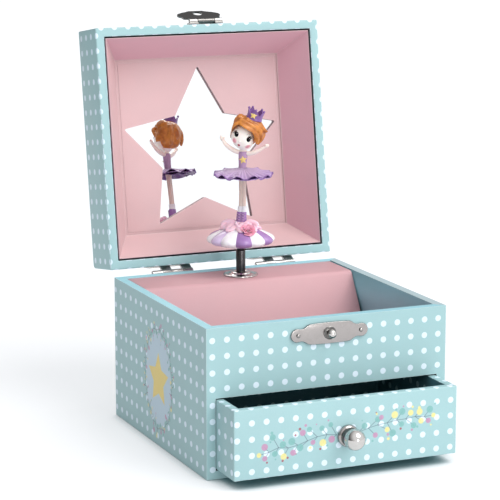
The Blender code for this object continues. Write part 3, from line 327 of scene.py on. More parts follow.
def star_mask(look, x, y, outer, inner, soft):
    """1 inside a five-pointed star that points along +y."""
    fold = math.radians(36)
    angle = look.add(look.math("ARCTAN2", x, y), math.tau)
    angle = look.math("ABSOLUTE", look.math("PINGPONG", angle, fold))
    far = look.span(x, y)
    tip = Vector((outer, 0))
    run = (Vector((inner * math.cos(fold), inner * math.sin(fold))) - tip).normalized()
    normal = Vector((run.y, -run.x))
    off = look.add(look.mul(look.mul(far, look.math("COSINE", angle)), normal.x),
                   look.mul(look.mul(far, look.math("SINE", angle)), normal.y))
    return look.step(look.sub(off, normal.dot(tip)), soft, -soft)


# The medallion: its half width and height, its middle's height, and its length around in mm.
OVAL = (22.5, 31.0)
OVAL_Z = 40.4
OVAL_AROUND = 157.08
OVAL_STAR = (16.4, 8.4)
# Its sprigs: how many there are, a seed, how far they spread, their size and their inks.
SPRIGS = ((24, 5.0, 10.5, 1.1, (TEAL, YELLOW, MAUVE)), (30, 23.0, 8.0, 0.8, (TEAL, MAUVE, TEAL)),
          (36, 47.0, 12.0, 0.6, (TEAL, MAUVE, YELLOW)), (42, 91.0, 9.0, 0.5, (YELLOW, MAUVE, TEAL)))


def medallion(look, colour):
    """An oval in a wreath of sprigs, with a star in it, on each side of the box."""
    x, y, _ = look.split(look.uv("print"))
    ex = look.math("DIVIDE", x, OVAL[0])
    ey = look.math("DIVIDE", y, OVAL[1])
    ring = look.span(ex, ey)
    around = look.mul(look.math("ARCTAN2", ex, ey), OVAL_AROUND / math.tau)
    t = look.mul(look.sub(ring, 0.97), 24.0)
    stem = look.add(t, look.mul(look.math("SINE", look.mul(around, 0.56)), 0.6))
    found = look.mix(look.step(stem, -1.6, -2.0), colour, SKY)
    found = look.tint(look.step(look.math("ABSOLUTE", stem), 0.3, 0.12), 0.6, found, TWIG)
    for count, *rest in SPRIGS:
        found = sprigs(look, found, around, t, OVAL_AROUND / count, *rest)
    shown = look.step(look.math("ABSOLUTE", t), 7.0, 6.5)
    inside = look.math("LESS_THAN", ring, 0.9)
    found = look.mix(look.math("MAXIMUM", shown, inside), colour, found)
    return look.mix(star_mask(look, x, look.add(y, 0.3), *OVAL_STAR, 0.15), found, GOLD)


def paper_look(name, *pattern, colour=PAPER, rough=0.42):
    """Printed paper over board: faint mottle, fine fibre, and lighter worn edges."""
    look = Look(name)
    for layer in pattern:
        colour = layer(look, colour)
    colour = look.tint(look.step(look.noise(0.06, 3.0), 0.35, 0.7), 0.05, colour, (0.25, 0.30, 0.33))
    grain = look.noise(2.2, 4.0, 0.65)
    colour = look.tint(look.step(grain, 0.3, 0.75), 0.05, colour, (0.8, 0.84, 0.86))
    colour = look.tint(look.worn(), 0.22, colour, (0.88, 0.93, 0.94))
    look.bump(look.add(grain, look.mul(look.noise(0.25, 2.0), 1.5)), 0.02)
    roughness = look.math("MULTIPLY_ADD", grain, 0.12, rough - 0.06)
    return look.set(Base_Color=colour, Roughness=roughness, Specular_IOR_Level=0.35)


def metal(name, colour, rough=0.2, brushed=(1.0, 1.0, 1.0), scratch=0.06, dark=0.12):
    """Plated or bare metal: fine brushing, a little tarnish in patches, bright worn edges."""
    look = Look(name)
    fine = look.noise(3.0, 3.0, 0.6, brushed)
    patch = look.noise(0.22, 3.0)
    shade = look.tint(look.step(patch, 0.4, 0.75), dark, colour, tuple(c * 0.45 for c in colour))
    shade = look.tint(look.worn(), 0.35, shade, (0.92, 0.91, 0.89))
    roughness = look.math("MULTIPLY_ADD", fine, scratch, rough - scratch / 2)
    roughness = look.math("MULTIPLY_ADD", look.step(patch, 0.4, 0.8), 0.08, roughness)
    look.bump(fine, 0.004)
    return look.set(Base_Color=shade, Roughness=roughness, Metallic=1.0)


def moulded(name, colour, dark, rough=0.34, per_mm=0.35, amount=0.35, soft=0.0, fibre=0.03, gloss=0.5):
    """Painted or moulded plastic: brush streaks in the colour and a faintly uneven surface."""
    look = Look(name)
    streak = look.noise(per_mm, 3.0, 0.6)
    fine = look.noise(2.6, 2.0)
    look.bump(look.add(fine, look.mul(streak, 2.0)), fibre)
    if soft:
        look.set(Subsurface_Weight=soft, Subsurface_Scale=2.0 * MM, Subsurface_Radius=(1.0, 0.45, 0.3))
    return look.set(Base_Color=look.tint(look.step(streak, 0.3, 0.75), amount, colour, dark),
                    Roughness=look.math("MULTIPLY_ADD", fine, 0.12, rough - 0.06),
                    Specular_IOR_Level=gloss)


def mirror_look():
    look = Look("silvered_glass")
    tint = look.mix(look.noise(0.05, 2.0), (0.94, 0.955, 0.96), (0.90, 0.925, 0.935))
    rough = look.math("MULTIPLY_ADD", look.noise(0.4, 2.0), 0.012, 0.004)
    return look.set(Base_Color=tint, Roughness=rough, Metallic=1.0)


dotted = paper_look("dotted_paper", dots)
dotted_garland = paper_look("dotted_paper_garland", dots, garland)
dotted_medallion = paper_look("dotted_paper_medallion", dots, medallion)
plain = paper_look("plain_blue_paper", colour=PAPER_PLAIN)
# The drawer's inner walls: the dotted paper darkened, painted shade.
painted_shade_dotted = paper_look("painted_shade_dotted_paper", painted_shade_dots, rough=0.6)
# The compartment's inner walls: the plain blue paper made bluer and greener than outside to offset their
# shade and the pink bounce light, painted light.
inner_blue = paper_look("inner_blue_paper_painted_light", colour=(0.32, 0.62, 0.70), rough=0.5)
lining = paper_look("pink_lining_paper", colour=PINK, rough=0.5)
# The same pink lining paper in a darker mauve, for faces that turn away from the light: painted shade.
lining_shade = paper_look("pink_liner_painted_shade", colour=(0.63, 0.36, 0.42), rough=0.5)
lid_pink = paper_look("pink_lid_paper", colour=PALE_PINK, rough=0.5)
cut_edge = paper_look("dark_cut_edge", colour=(0.07, 0.075, 0.08), rough=0.7)
board = paper_look("grey_board", colour=(0.30, 0.28, 0.25), rough=0.75)
# Near-black paper for the drawer bay, the edges of the drawer opening, the compartment floor's underside and
# the inside of the lid shell: painted shade.
painted_shade_paper = paper_look("dark_painted_shade_paper", colour=(0.03, 0.045, 0.05), rough=0.7)
nickel = metal("nickel_plate", (0.40, 0.375, 0.365))
hinge_steel = metal("hinge_steel", (0.34, 0.33, 0.32))
# Near-black steel, a darker copy of the plated metal, for the hasp leaf, the catch plate's outline, the nail
# rims and the knob necks: painted dark reflection and painted shade.
steel_painted_shade_and_reflection = metal("steel_painted_shade_and_reflection", (0.14, 0.135, 0.13))
bright_nickel = metal("polished_nickel", (0.60, 0.58, 0.56), 0.10, scratch=0.04)
# The post's chrome made near-black: a painted dark reflection.
post_metal = metal("drawn_post_painted_dark_reflection", (0.07, 0.065, 0.068), brushed=(0.5, 0.5, 0.01), scratch=0.16, dark=0.5)
steel = metal("spring_steel", (0.42, 0.42, 0.43), 0.26, brushed=(1.0, 0.2, 1.0))
zinc = metal("die_cast_zinc", (0.36, 0.36, 0.37), 0.45, scratch=0.2, dark=0.3)
brass = metal("turned_brass", (0.72, 0.50, 0.20), 0.22, brushed=(1.0, 1.0, 0.15))
nylon = moulded("white_nylon", (0.72, 0.69, 0.60), (0.60, 0.56, 0.46), 0.4)
ferrite = moulded("black_ferrite", (0.035, 0.035, 0.04), (0.07, 0.07, 0.075), 0.5, fibre=0.06)
silvered = mirror_look()


# ---------------------------------------------------------------- making pieces

def wrap(bm, matrix):
    bmesh.ops.transform(bm, matrix=matrix, verts=bm.verts)
    return bm


def block(low, high):
    bm = bmesh.new()
    low = Vector(low)
    high = Vector(high)
    matrix = Matrix.Translation((low + high) / 2) @ Matrix.Diagonal((*(high - low), 1.0))
    bmesh.ops.create_cube(bm, size=1.0, matrix=matrix)
    return bm


def ring_of(bm, steps, point):
    """Corners all the way round; point gives the place at each angle."""
    return [bm.verts.new(point(math.tau * i / steps)) for i in range(steps)]


def oblong(bm, x0, x1, y0, y1, z):
    return [bm.verts.new(p) for p in ((x0, y0, z), (x1, y0, z), (x1, y1, z), (x0, y1, z))]


def stitch(bm, rings, closed=False, flip=False):
    """Faces from each ring of corners to the next. A ring may be a single corner."""
    steps = max(len(ring) for ring in rings)
    for lower, upper in zip(rings, rings[1:] + (rings[:1] if closed else [])):
        for i in range(steps):
            n = (i + 1) % steps
            found = tuple(dict.fromkeys((lower[i % len(lower)], lower[n % len(lower)],
                                         upper[n % len(upper)], upper[i % len(upper)])))
            if len(found) > 2:
                bm.faces.new(found[::-1] if flip else found)
    return bm


def tray(outer, inner, shut, edge, floor):
    """A box open at one end, with a mitred rim. The plans are (low x, high x, low y, high y)."""
    bm = bmesh.new()
    levels = ((outer, shut), (outer, edge), (inner, edge), (inner, floor))
    loops = [oblong(bm, *plan, z) for plan, z in levels]
    stitch(bm, loops)
    bm.faces.new(loops[0])
    bm.faces.new(loops[-1])
    return bm


def lathe(profile, place=(0, 0, 0), axis="Z", steps=64, ripple=None):
    """Turn an outline of (radius, height) from axis to axis. Height runs along Z or -Y."""
    bm = bmesh.new()
    rings = []
    for radius, height in profile:
        def point(angle):
            reach = radius * (ripple(angle, radius) if ripple else 1.0)
            return reach * math.cos(angle), reach * math.sin(angle), height
        rings.append(ring_of(bm, steps, point) if radius > 1e-6 else [bm.verts.new((0, 0, height))])
    stitch(bm, rings, closed=len(rings[0]) > 1)
    return wrap(bm, Matrix.Translation(place) @ (rotate(90, "X") if axis == "Y" else STAY))


def rod(radius, start, length, place=(0, 0, 0), axis="Z", steps=32):
    return lathe([(0, start), (radius, start), (radius, start + length), (0, start + length)], place,
                 axis, steps)


def sheet(outline, low, high, axis="Z"):
    """Extrude an outline of (a, b) points along an axis: (x, y) for Z, (x, z) for Y, (y, z) for X."""
    order = {"Z": (0, 1, 2), "Y": (0, 2, 1), "X": (2, 0, 1)}[axis]
    bm = bmesh.new()
    loops = []
    for level in (low, high):
        loops.append([bm.verts.new([(a, b, level)[k] for k in order]) for a, b in outline])
        bm.faces.new(loops[-1])
    return stitch(bm, loops)


def tube(points, steps=6, sides=20):
    """A smooth closed limb. Each point is (x, y, z, radius) or (x, y, z, radius, depth share)."""
    full = [Vector((*p[:3], p[3], p[4] if len(p) > 4 else 1.0)) for p in points]
    line = []
    padded = [2 * full[0] - full[1]] + full + [2 * full[-1] - full[-2]]
    for i in range(1, len(padded) - 2):
        a, b, c, d = padded[i - 1:i + 3]
        for k in range(steps):
            t = k / steps
            line.append(0.5 * (2 * b + (c - a) * t + (2 * a - 5 * b + 4 * c - d) * t * t
                               + (3 * b - 3 * c + d - a) * t ** 3))
    line.append(full[-1])
    bm = bmesh.new()
    rings = []
    side = None
    for k, point in enumerate(line):
        before = Vector(line[max(k - 1, 0)][:3])
        run = (Vector(line[min(k + 1, len(line) - 1)][:3]) - before).normalized()
        if side is None:
            upright = abs(run.z) > 0.5
            side = Vector((1, 0, 0)) - run * run.x if upright else run.orthogonal()
            side.normalize()
        side = (side - run * side.dot(run)).normalized()
        other = run.cross(side)

        def place(angle):
            offset = side * math.cos(angle) + other * math.sin(angle) * point[4]
            return Vector(point[:3]) + offset * max(point[3], 0.01)
        rings.append(ring_of(bm, sides, place))
    stitch(bm, rings)
    bm.faces.new(rings[0][::-1])
    bm.faces.new(rings[-1])
    return bm


def blob(radii, place=(0, 0, 0), turn=STAY, sides=28, rings=18):
    bm = bmesh.new()
    bmesh.ops.create_uvsphere(bm, u_segments=sides, v_segments=rings, radius=1.0)
    return wrap(bm, Matrix.Translation(place) @ turn @ Matrix.Diagonal((*radii, 1.0)))


def scratch_object(bm):
    bmesh.ops.recalc_face_normals(bm, faces=bm.faces)
    mesh = bpy.data.meshes.new("scratch")
    bm.to_mesh(mesh)
    bm.free()
    made = bpy.data.objects.new("scratch", mesh)
    bpy.context.scene.collection.objects.link(made)
    return made


def bake(made, *modifiers):
    """Apply modifiers, each (kind, {settings}), and keep the resulting mesh on the object."""
    for kind, settings in modifiers:
        modifier = made.modifiers.new(kind.lower(), kind)
        for name, value in settings.items():
            setattr(modifier, name, value)
    graph = bpy.context.evaluated_depsgraph_get()
    mesh = bpy.data.meshes.new_from_object(made.evaluated_get(graph))
    made.modifiers.clear()
    old = made.data
    made.data = mesh
    bpy.data.meshes.remove(old)
    return made


def carve(made, tools, operation="DIFFERENCE"):
    for bm in tools:
        tool = scratch_object(bm)
        bake(made, ("BOOLEAN", {"operation": operation, "solver": "EXACT", "object": tool}))
        bpy.data.objects.remove(tool)
    return made


def merged(sources):
    """One bmesh from several."""
    whole = bmesh.new()
    for source in sources:
        mesh = bpy.data.meshes.new("part")
        bmesh.ops.recalc_face_normals(source, faces=source.faces)
        source.to_mesh(mesh)
        source.free()
        whole.from_mesh(mesh)
        bpy.data.meshes.remove(mesh)
    return whole


def fused(sources, voxel, smoothing=6):
    """Melt several closed shapes into one moulded body."""
    made = scratch_object(merged(sources))
    return bake(made, ("REMESH", {"mode": "VOXEL", "voxel_size": voxel}),
                ("SMOOTH", {"factor": 0.5, "iterations": smoothing}))


def split_level(made, z):
    """Divide every face that crosses a height, so that each side can have its own paper."""
    bm = bmesh.new()
    bm.from_mesh(made.data)
    bmesh.ops.bisect_plane(bm, geom=bm.verts[:] + bm.edges[:] + bm.faces[:], dist=0.0001,
                           plane_co=(0, 0, z), plane_no=(0, 0, 1))
    bm.to_mesh(made.data)
    bm.free()


def rounded(width, segments=3, angle=40):
    return ("BEVEL", {"width": width, "segments": segments, "limit_method": "ANGLE",
                      "angle_limit": math.radians(angle), "use_clamp_overlap": True})


def piece(name, source, looks, body, pose=STAY, stands_for=(), zone=None, smooth=35):
    """Finish a piece: materials by zone, smooth shading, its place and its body."""
    made = source if isinstance(source, bpy.types.Object) else scratch_object(source)
    made.name = name
    made.data.name = name
    mesh = made.data
    mesh.materials.clear()
    for look in looks if isinstance(looks, (list, tuple)) else [looks]:
        mesh.materials.append(look)
    for face in mesh.polygons:
        face.material_index = zone(face.center, face.normal) if zone else 0
    mesh.transform(METRES @ pose)
    mesh.shade_smooth()
    mesh.set_sharp_from_angle(angle=math.radians(smooth))
    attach(made, body)
    if stands_for:
        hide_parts(*stands_for)
    return made


def lay_paper(made, first, fold=None, prints=None):
    """Lay printed paper on an upright box: rows of dots from the first, and a print's own place."""
    first = Vector(first)
    mesh = made.data
    counted = mesh.uv_layers.new(name="dots")
    drawn = mesh.uv_layers.new(name="print")
    for face in mesh.polygons:
        size = [abs(value) for value in face.normal]
        main = size.index(max(size))
        for corner in face.loop_indices:
            p = mesh.vertices[mesh.loops[corner].vertex_index].co
            off = p - first
            u, v = [off[k] for k in range(3) if k != main]
            if main == 2 and fold is not None:
                u, v = fold(p, face.center)
            counted.data[corner].uv = (u / PITCH_U, v / PITCH_V)
            if prints is not None:
                drawn.data[corner].uv = prints(p, main)
    return made


# ---------------------------------------------------------------- the box

NO_PRINT = 900.0
SIDE_PANELS = ("left_side_panel", "right_side_panel", "front_panel", "back_panel", "base_panel")
CATCH_HOLES = (("catch_nail_left", 0.9), ("catch_nail_right", 0.9), ("catch_stud", 1.6))


def build_body():
    made = bake(scratch_object(block((-HALF_W, -HALF_D, 0), (HALF_W, HALF_D, BODY_TOP))))
    carve(made, [block((-IN_X, -IN_Y, BASE_TOP), (IN_X, IN_Y, BODY_TOP + 9)),
                 block((-IN_X, -HALF_D - 9, BASE_TOP), (IN_X, -IN_Y + 1, FRONT_LOW))])
    bake(made, rounded(0.8, 3))
    holes = [rod(4.0, -HALF_D - 2, WALL + 4, (0, 0, KEY_Z), "Y", 40)]
    for node in ("movement_screw_left", "movement_screw_right"):
        place = middle(node)
        holes.append(rod(1.6, -HALF_D - 2, WALL + 4, (place.x, 0, place.z), "Y", 24))
    for node, radius in CATCH_HOLES:
        place = middle(node)
        holes.append(rod(radius, HALF_D - 5.2, 6, (place.x, 0, place.z), "Y", 16))
    carve(made, holes)
    split_level(made, FRONT_LOW + 1.2)

    # Zone 2, the compartment's inner walls, takes the recoloured inner blue paper: painted light.
    def where(centre, normal):
        # The drawer bay and the edges of its opening get the near-black paper: painted shade.
        if abs(centre.x) < IN_X + 0.4 and abs(centre.y) < IN_Y + 0.4 and centre.z > BASE_TOP - 1:
            return 3 if centre.z < FRONT_LOW + 1 else 2
        mouth = centre.z < FRONT_LOW + 0.5 and abs(centre.x) < IN_X + 0.4 and centre.y < 0
        if mouth and abs(normal.y) < 0.5:
            return 3
        if centre.z > BODY_TOP - 0.45:
            return 1
        return 4 if abs(normal.x) > 0.9 and abs(centre.x) > HALF_W - 0.1 else 0

    def prints(p, main):
        return math.copysign(p.y, p.y * -p.x) if main == 0 else NO_PRINT, p.z - OVAL_Z

    lay_paper(made, (FIRST_X, *BODY_FIRST), prints=prints)
    piece("box_body", made, [dotted, plain, inner_blue, painted_shade_paper, dotted_medallion], "box",
          stands_for=SIDE_PANELS, zone=where)


COVER_THICK = 1.5
COVER_FOLD_Y = 38.6
COVER_FOLD_R = 4.0


def cover_line(inset, low, high):
    """One face of the folded card, from the back over the fold to the foot, as (y, z)."""
    slope = math.atan2(COVER_FOLD_Y - low.y, high.z - COVER_FOLD_R - low.z)
    points = [(high.y, high.z - inset)]
    for i in range(15):
        angle = math.radians(90) + (math.radians(90) - slope) * i / 14
        points.append((COVER_FOLD_Y + 0.5 + (COVER_FOLD_R - inset) * math.cos(angle),
                       high.z - COVER_FOLD_R + (COVER_FOLD_R - inset) * math.sin(angle)))
    y, z = points[-1]
    points.append((y - math.tan(slope) * (z - low.z), low.z))
    return points


def build_cover():
    low, high = extent("mechanism_cover")
    outline = cover_line(0.0, low, high) + cover_line(COVER_THICK, low, high)[::-1]
    made = scratch_object(sheet(outline, -IN_X + 1.0, IN_X - 1.0, "X"))
    bake(made, rounded(0.35, 2, 60))
    carve(made, [rod(6.6, high.z - 5, 9, (0, POST_Y, 0), "Z", 48)])
    # The card's cut ends take the darker mauve pink: painted shade.
    piece("movement_cover", made, [lining, lining_shade], "box",
          stands_for=("mechanism_cover",), smooth=50,
          zone=lambda centre, normal: 1 if abs(normal.x) > 0.7 else 0)

    high = extent("cover_grommet")[1]
    seat = high.z - 2.0
    neck = 6.0
    bore = POST_R + 0.5
    rim = high.x

    def petals(angle, radius):
        return 1.0 + 0.012 * math.cos(16 * angle) * max(0.0, radius - neck) / (rim - neck)

    profile = [(bore, -3.2), (neck, -3.2), (neck, 0), (rim * 0.985, 0), (rim * 0.988, 0.25),
               (rim * 0.97, 0.5), (rim - 1.2, 0.75), (rim - 2.0, 0.62), (rim - 2.6, 0.55),
               (neck + 1.3, 0.75), (neck + 0.7, 0.9), (neck + 0.3, 1.3), (neck + 0.1, 1.75),
               (neck - 0.3, 1.98), (bore + 0.7, 1.98), (bore + 0.2, 1.8), (bore, 1.4)]
    made = lathe([(r, seat + h) for r, h in profile], (0, POST_Y, 0), "Z", 96, petals)
    piece("post_grommet", made, bright_nickel, "box", stands_for=("cover_grommet",),
          smooth=50)


def build_post():
    """The bright post that carries the dancer, with the cylinder's shaft below it; its metal is near-black,
    a painted dark reflection.
    """
    low, high = extent("figure_post")
    shaft = 1.48
    start = 86.0
    profile = [(0, low.z), (shaft - 0.3, low.z), (shaft, low.z + 0.3), (shaft, start - 1.2),
               (POST_R - 0.4, start - 0.8), (POST_R, start - 0.4), (POST_R, high.z - 0.6),
               (POST_R - 0.15, high.z - 0.2), (POST_R - 0.5, high.z), (0, high.z)]
    piece("dancer_post", lathe(profile, (0, POST_Y, 0)), post_metal, "spindle",
          stands_for=("figure_post",), smooth=40)
    low, high = extent("post_magnet")
    profile = [(0, low.z), (high.x - 0.2, low.z), (high.x, low.z + 0.2), (high.x, high.z - 0.3),
               (high.x - 0.3, high.z), (0, high.z)]
    piece("post_disc_magnet", lathe(profile, (0, POST_Y, 0), "Z", 48), ferrite, "spindle",
          stands_for=("post_magnet",), smooth=40)


build_body()
build_cover()
build_post()


# ---------------------------------------------------------------- the catch and the knob

def lobed_plate(half_length, half_height, rise):
    """Outline of a stamped plate: a raised middle, a step, and a round lobe at each end."""
    lobe = half_height * 0.62
    shoulder = half_length - 2.35 * lobe
    upper = [(0, half_height), (shoulder * 0.5, half_height * 0.985),
             (shoulder - 2.4, half_height * 0.94), (shoulder - 0.9, half_height * 0.84),
             (shoulder - 0.3, half_height * 0.74), (shoulder + 0.5, lobe * 1.1),
             (shoulder + 1.6, lobe * 0.96), (shoulder + 2.7, lobe * 0.92)]
    right = list(upper)
    for i in range(19):
        angle = math.radians(100 - 200 * i / 18)
        right.append((half_length - lobe + lobe * math.cos(angle), lobe * math.sin(angle)))
    right += [(x, -z) for x, z in reversed(upper)]
    left = [(-x, -z) for x, z in right[1:-1]]
    return [(x, z + rise) for x, z in right + left]


def build_catch():
    low, high = extent("catch_plate")
    height = middle("catch_plate").z
    outline = lobed_plate((high.x - low.x) / 2, (high.z - low.z) / 2, height)
    made = bake(scratch_object(sheet(outline, low.y, high.y, "Y")), rounded(0.3, 3, 50))
    holes = []
    for node, radius in CATCH_HOLES:
        place = middle(node)
        holes.append(rod(radius, -high.y - 1, 3, (place.x, 0, place.z), "Y", 24))
    carve(made, holes)
    # The plate's sides and rounded edge get the near-black steel: a painted dark outline of reflection.
    piece("catch_face", made, [nickel, steel_painted_shade_and_reflection], "box",
          stands_for=("catch_plate",), smooth=45,
          zone=lambda point, normal: 0 if abs(normal.y) > 0.75 else 1)

    seat = -extent("catch_stud")[0].y - 5.0
    stud = [(0, -4.6), (1.3, -4.6), (1.3, 0), (3.7, 0), (3.75, 0.2), (3.5, 0.42), (2.4, 0.5),
            (1.75, 0.7), (1.6, 1.1), (1.75, 1.6), (2.3, 2.3), (2.5, 2.8), (2.5, 3.3), (2.3, 3.9),
            (1.7, 4.5), (0.9, 4.9), (0, 5.0)]
    made = lathe([(r, seat + h) for r, h in stud], (0, 0, height), "Y", 48)
    # The stud's foot and neck get the near-black steel: painted shade and dark reflection.
    piece("catch_knob", made, [bright_nickel, steel_painted_shade_and_reflection], "box",
          stands_for=("catch_stud",), smooth=50,
          zone=lambda point, normal: 1 if -(seat + 2.0) < point.y < -seat else 0)
    nail = [(0, -4.3), (0.6, -3.7), (0.6, -0.7), (1.15, -0.7), (1.1, -0.5), (0.9, -0.3),
            (0.5, -0.12), (0, -0.05)]
    for node in ("catch_nail_left", "catch_nail_right"):
        place = middle(node)
        head = -extent(node)[0].y
        made = lathe([(r, head + h) for r, h in nail], (place.x, 0, place.z), "Y", 28)
        # The nail heads' rims and shanks get the near-black steel: painted shade and dark reflection.
        piece(node.replace("catch_", "plate_"), made, [nickel, steel_painted_shade_and_reflection], "box",
              stands_for=(node,), smooth=50, zone=lambda point, normal: 0 if normal.y < -0.9 else 1)


KNOB_R = 6.1


def build_knob():
    low, high = extent("drawer_knob", DRAWER)
    place = middle("drawer_knob", DRAWER)
    seat = -high.y
    flange = (high.x - low.x) / 2
    centre = -low.y - KNOB_R
    neck = centre - KNOB_R * math.sin(math.radians(42))
    profile = [(1.6, seat), (flange - 0.15, seat), (flange, seat + 0.2), (flange, seat + 0.8),
               (flange - 0.12, seat + 1.2), (flange - 0.5, seat + 1.7), (flange - 1.1, seat + 2.1),
               (4.9, seat + 2.5), (4.5, neck - 0.35)]
    for i in range(22):
        angle = math.radians(-42 + 130 * i / 21)
        profile.append((KNOB_R * math.cos(angle), centre + KNOB_R * math.sin(angle)))
    profile += [(0, centre + KNOB_R), (0, seat + 7.2), (1.6, seat + 7.2)]

    def where(point, normal):
        # On the one chrome knob, the flange takes the darker nickel and the neck the near-black steel:
        # painted shade and dark reflection.
        if point.y > -neck + 0.05:
            return 1 if point.y > -(seat + 2.0) else 2
        return 0

    piece("drawer_pull", lathe(profile, (place.x, 0, place.z), "Y", 72),
          [bright_nickel, nickel, steel_painted_shade_and_reflection], "drawer", DRAWER,
          stands_for=("drawer_knob",), zone=where, smooth=40)


build_catch()
build_knob()


# ---------------------------------------------------------------- the lid

LID_WALLS = ("lid_top_panel", "lid_left_wall", "lid_right_wall", "lid_front_wall", "lid_back_wall")


def build_lid():
    bm = tray((-HALF_W, HALF_W, -HALF_D, HALF_D), (-IN_X, IN_X, -IN_Y, IN_Y), LID_TOP, RIM,
              LID_CEILING)
    back_top = [e for e in bm.edges if all(v.co.z > LID_TOP - 1 and v.co.y > 1 for v in e.verts)]
    bmesh.ops.bevel(bm, geom=back_top, offset=2.6, segments=8, affect="EDGES", profile=0.5)
    made = bake(scratch_object(bm), rounded(0.8, 3, 30))

    def where(centre, normal):
        inside = abs(centre.x) < IN_X + 0.1 and abs(centre.y) < IN_Y + 0.1
        # The inside of the lid shell gets the near-black paper: painted shade.
        return 1 if inside and RIM + 0.5 < centre.z < LID_TOP - 1 else 0

    def fold(p, centre):
        """Where the paper comes round from a wall on to the rim, its rows carry on."""
        if centre.z > RIM + 5:
            return p.x - FIRST_X, p.y - LID_FIRST_Y
        if HALF_D - abs(centre.y) < HALF_W - abs(centre.x):
            return p.x - FIRST_X, HALF_D - abs(p.y) + (1.0 if centre.y > 0 else RIM_OFFSET)
        return (p.y - LID_FIRST_Y) * PITCH_U / PITCH_V, HALF_W - abs(p.x) + RIM_OFFSET

    lay_paper(made, (FIRST_X, LID_FIRST_Y, RIM + RIM_OFFSET), fold)
    mesh = made.data
    counted = mesh.uv_layers["dots"]
    for face in mesh.polygons:
        if abs(face.normal.x) > max(abs(face.normal.y), abs(face.normal.z)):
            for corner in face.loop_indices:
                p = mesh.vertices[mesh.loops[corner].vertex_index].co
                counted.data[corner].uv = ((p.y - LID_FIRST_Y) / PITCH_V,
                                           (p.z - RIM - RIM_OFFSET) / PITCH_V)
    piece("lid_shell", made, [dotted, painted_shade_paper], "lid", LID,
          stands_for=LID_WALLS, zone=where)


LINER_SLOPE = 13.6
STAR_OUTER = 54.7
STAR_INNER = STAR_OUTER * 0.534
STAR_TIP = 1.6


def star_corners(outer, inner, first):
    """Ten corners of a star from its first point, at an angle in degrees."""
    found = []
    for i in range(10):
        angle = math.radians(first + 36 * i)
        found.append(Vector((math.cos(angle), math.sin(angle))) * (inner if i % 2 else outer))
    return found


def star_points(centre_y):
    """The window's star, which points along -y, with its tips rounded."""
    corners = star_corners(STAR_OUTER, STAR_INNER, -90)
    points = []
    for i, corner in enumerate(corners):
        if i % 2:
            points.append((corner.x, corner.y + centre_y))
            continue
        start = corner + (corners[i - 1] - corner).normalized() * STAR_TIP
        end = corner + (corners[i + 1] - corner).normalized() * STAR_TIP
        for k in range(7):
            t = k / 6
            p = start * (1 - t) ** 2 + corner * 2 * t * (1 - t) + end * t * t
            points.append((p.x, p.y + centre_y))
    return points


def build_lining():
    low, high = extent("lid_liner", LID)
    out_x = IN_X - 0.9
    out_y = IN_Y - 0.9
    foot_x = high.x - LINER_SLOPE
    foot_y = high.y - LINER_SLOPE
    top = low.z + 0.1
    foot = high.z
    bm = bmesh.new()
    sections = ((out_x, out_y, 0.0, top + 0.3), (out_x, out_y, -0.3, top),
                (foot_x, foot_y, 0.2, foot - 0.9), (foot_x, foot_y, -0.2, foot - 0.6),
                (foot_x, foot_y, -0.2, foot), (foot_x, foot_y, 1.2, foot),
                (out_x, out_y, 0.0, top + 1.9))
    stitch(bm, [oblong(bm, -x - more, x + more, -y - more, y + more, z)
                for x, y, more, z in sections], closed=True)

    def where(centre, normal):
        # The liner's right and top walls, which face away from the light, get the darker mauve pink: painted
        # shade.
        shaded = normal.x < -0.5 or normal.y > 0.5
        return 1 if centre.z < foot - 1.5 and abs(normal.z) < 0.95 and shaded else 0

    piece("lid_lining", bm, [lid_pink, lining_shade], "lid", LID,
          stands_for=("lid_liner",), zone=where, smooth=20)

    low, high = extent("star_panel", LID)
    made = scratch_object(block(low, high))
    lip = block((-foot_x + 1.9, -foot_y + 1.9, low.z - 0.45), (foot_x - 1.9, foot_y - 1.9, low.z + 0.5))
    carve(made, [lip], "UNION")
    bake(made, rounded(0.2, 2, 60))
    star = star_points(STAR_OUTER * (1 - math.cos(math.radians(36))) / 2)
    carve(made, [sheet(star, low.z - 5, high.z + 5)])
    cut_half = low.z + 0.65 * (high.z - low.z)
    split_level(made, cut_half)

    def star_zone(centre, normal):
        inside = abs(centre.x) < foot_x - 3 and abs(centre.y) < foot_y - 3
        return 1 if inside and abs(normal.z) < 0.3 and centre.z > cut_half else 0

    piece("star_window", made, [lid_pink, cut_edge], "lid", LID,
          stands_for=("star_panel",), zone=star_zone, smooth=25)


build_lid()
build_lining()


# ---------------------------------------------------------------- the drawer

DRAWER_PARTS = ("drawer_front", "drawer_left_side", "drawer_right_side", "drawer_back", "drawer_bottom")


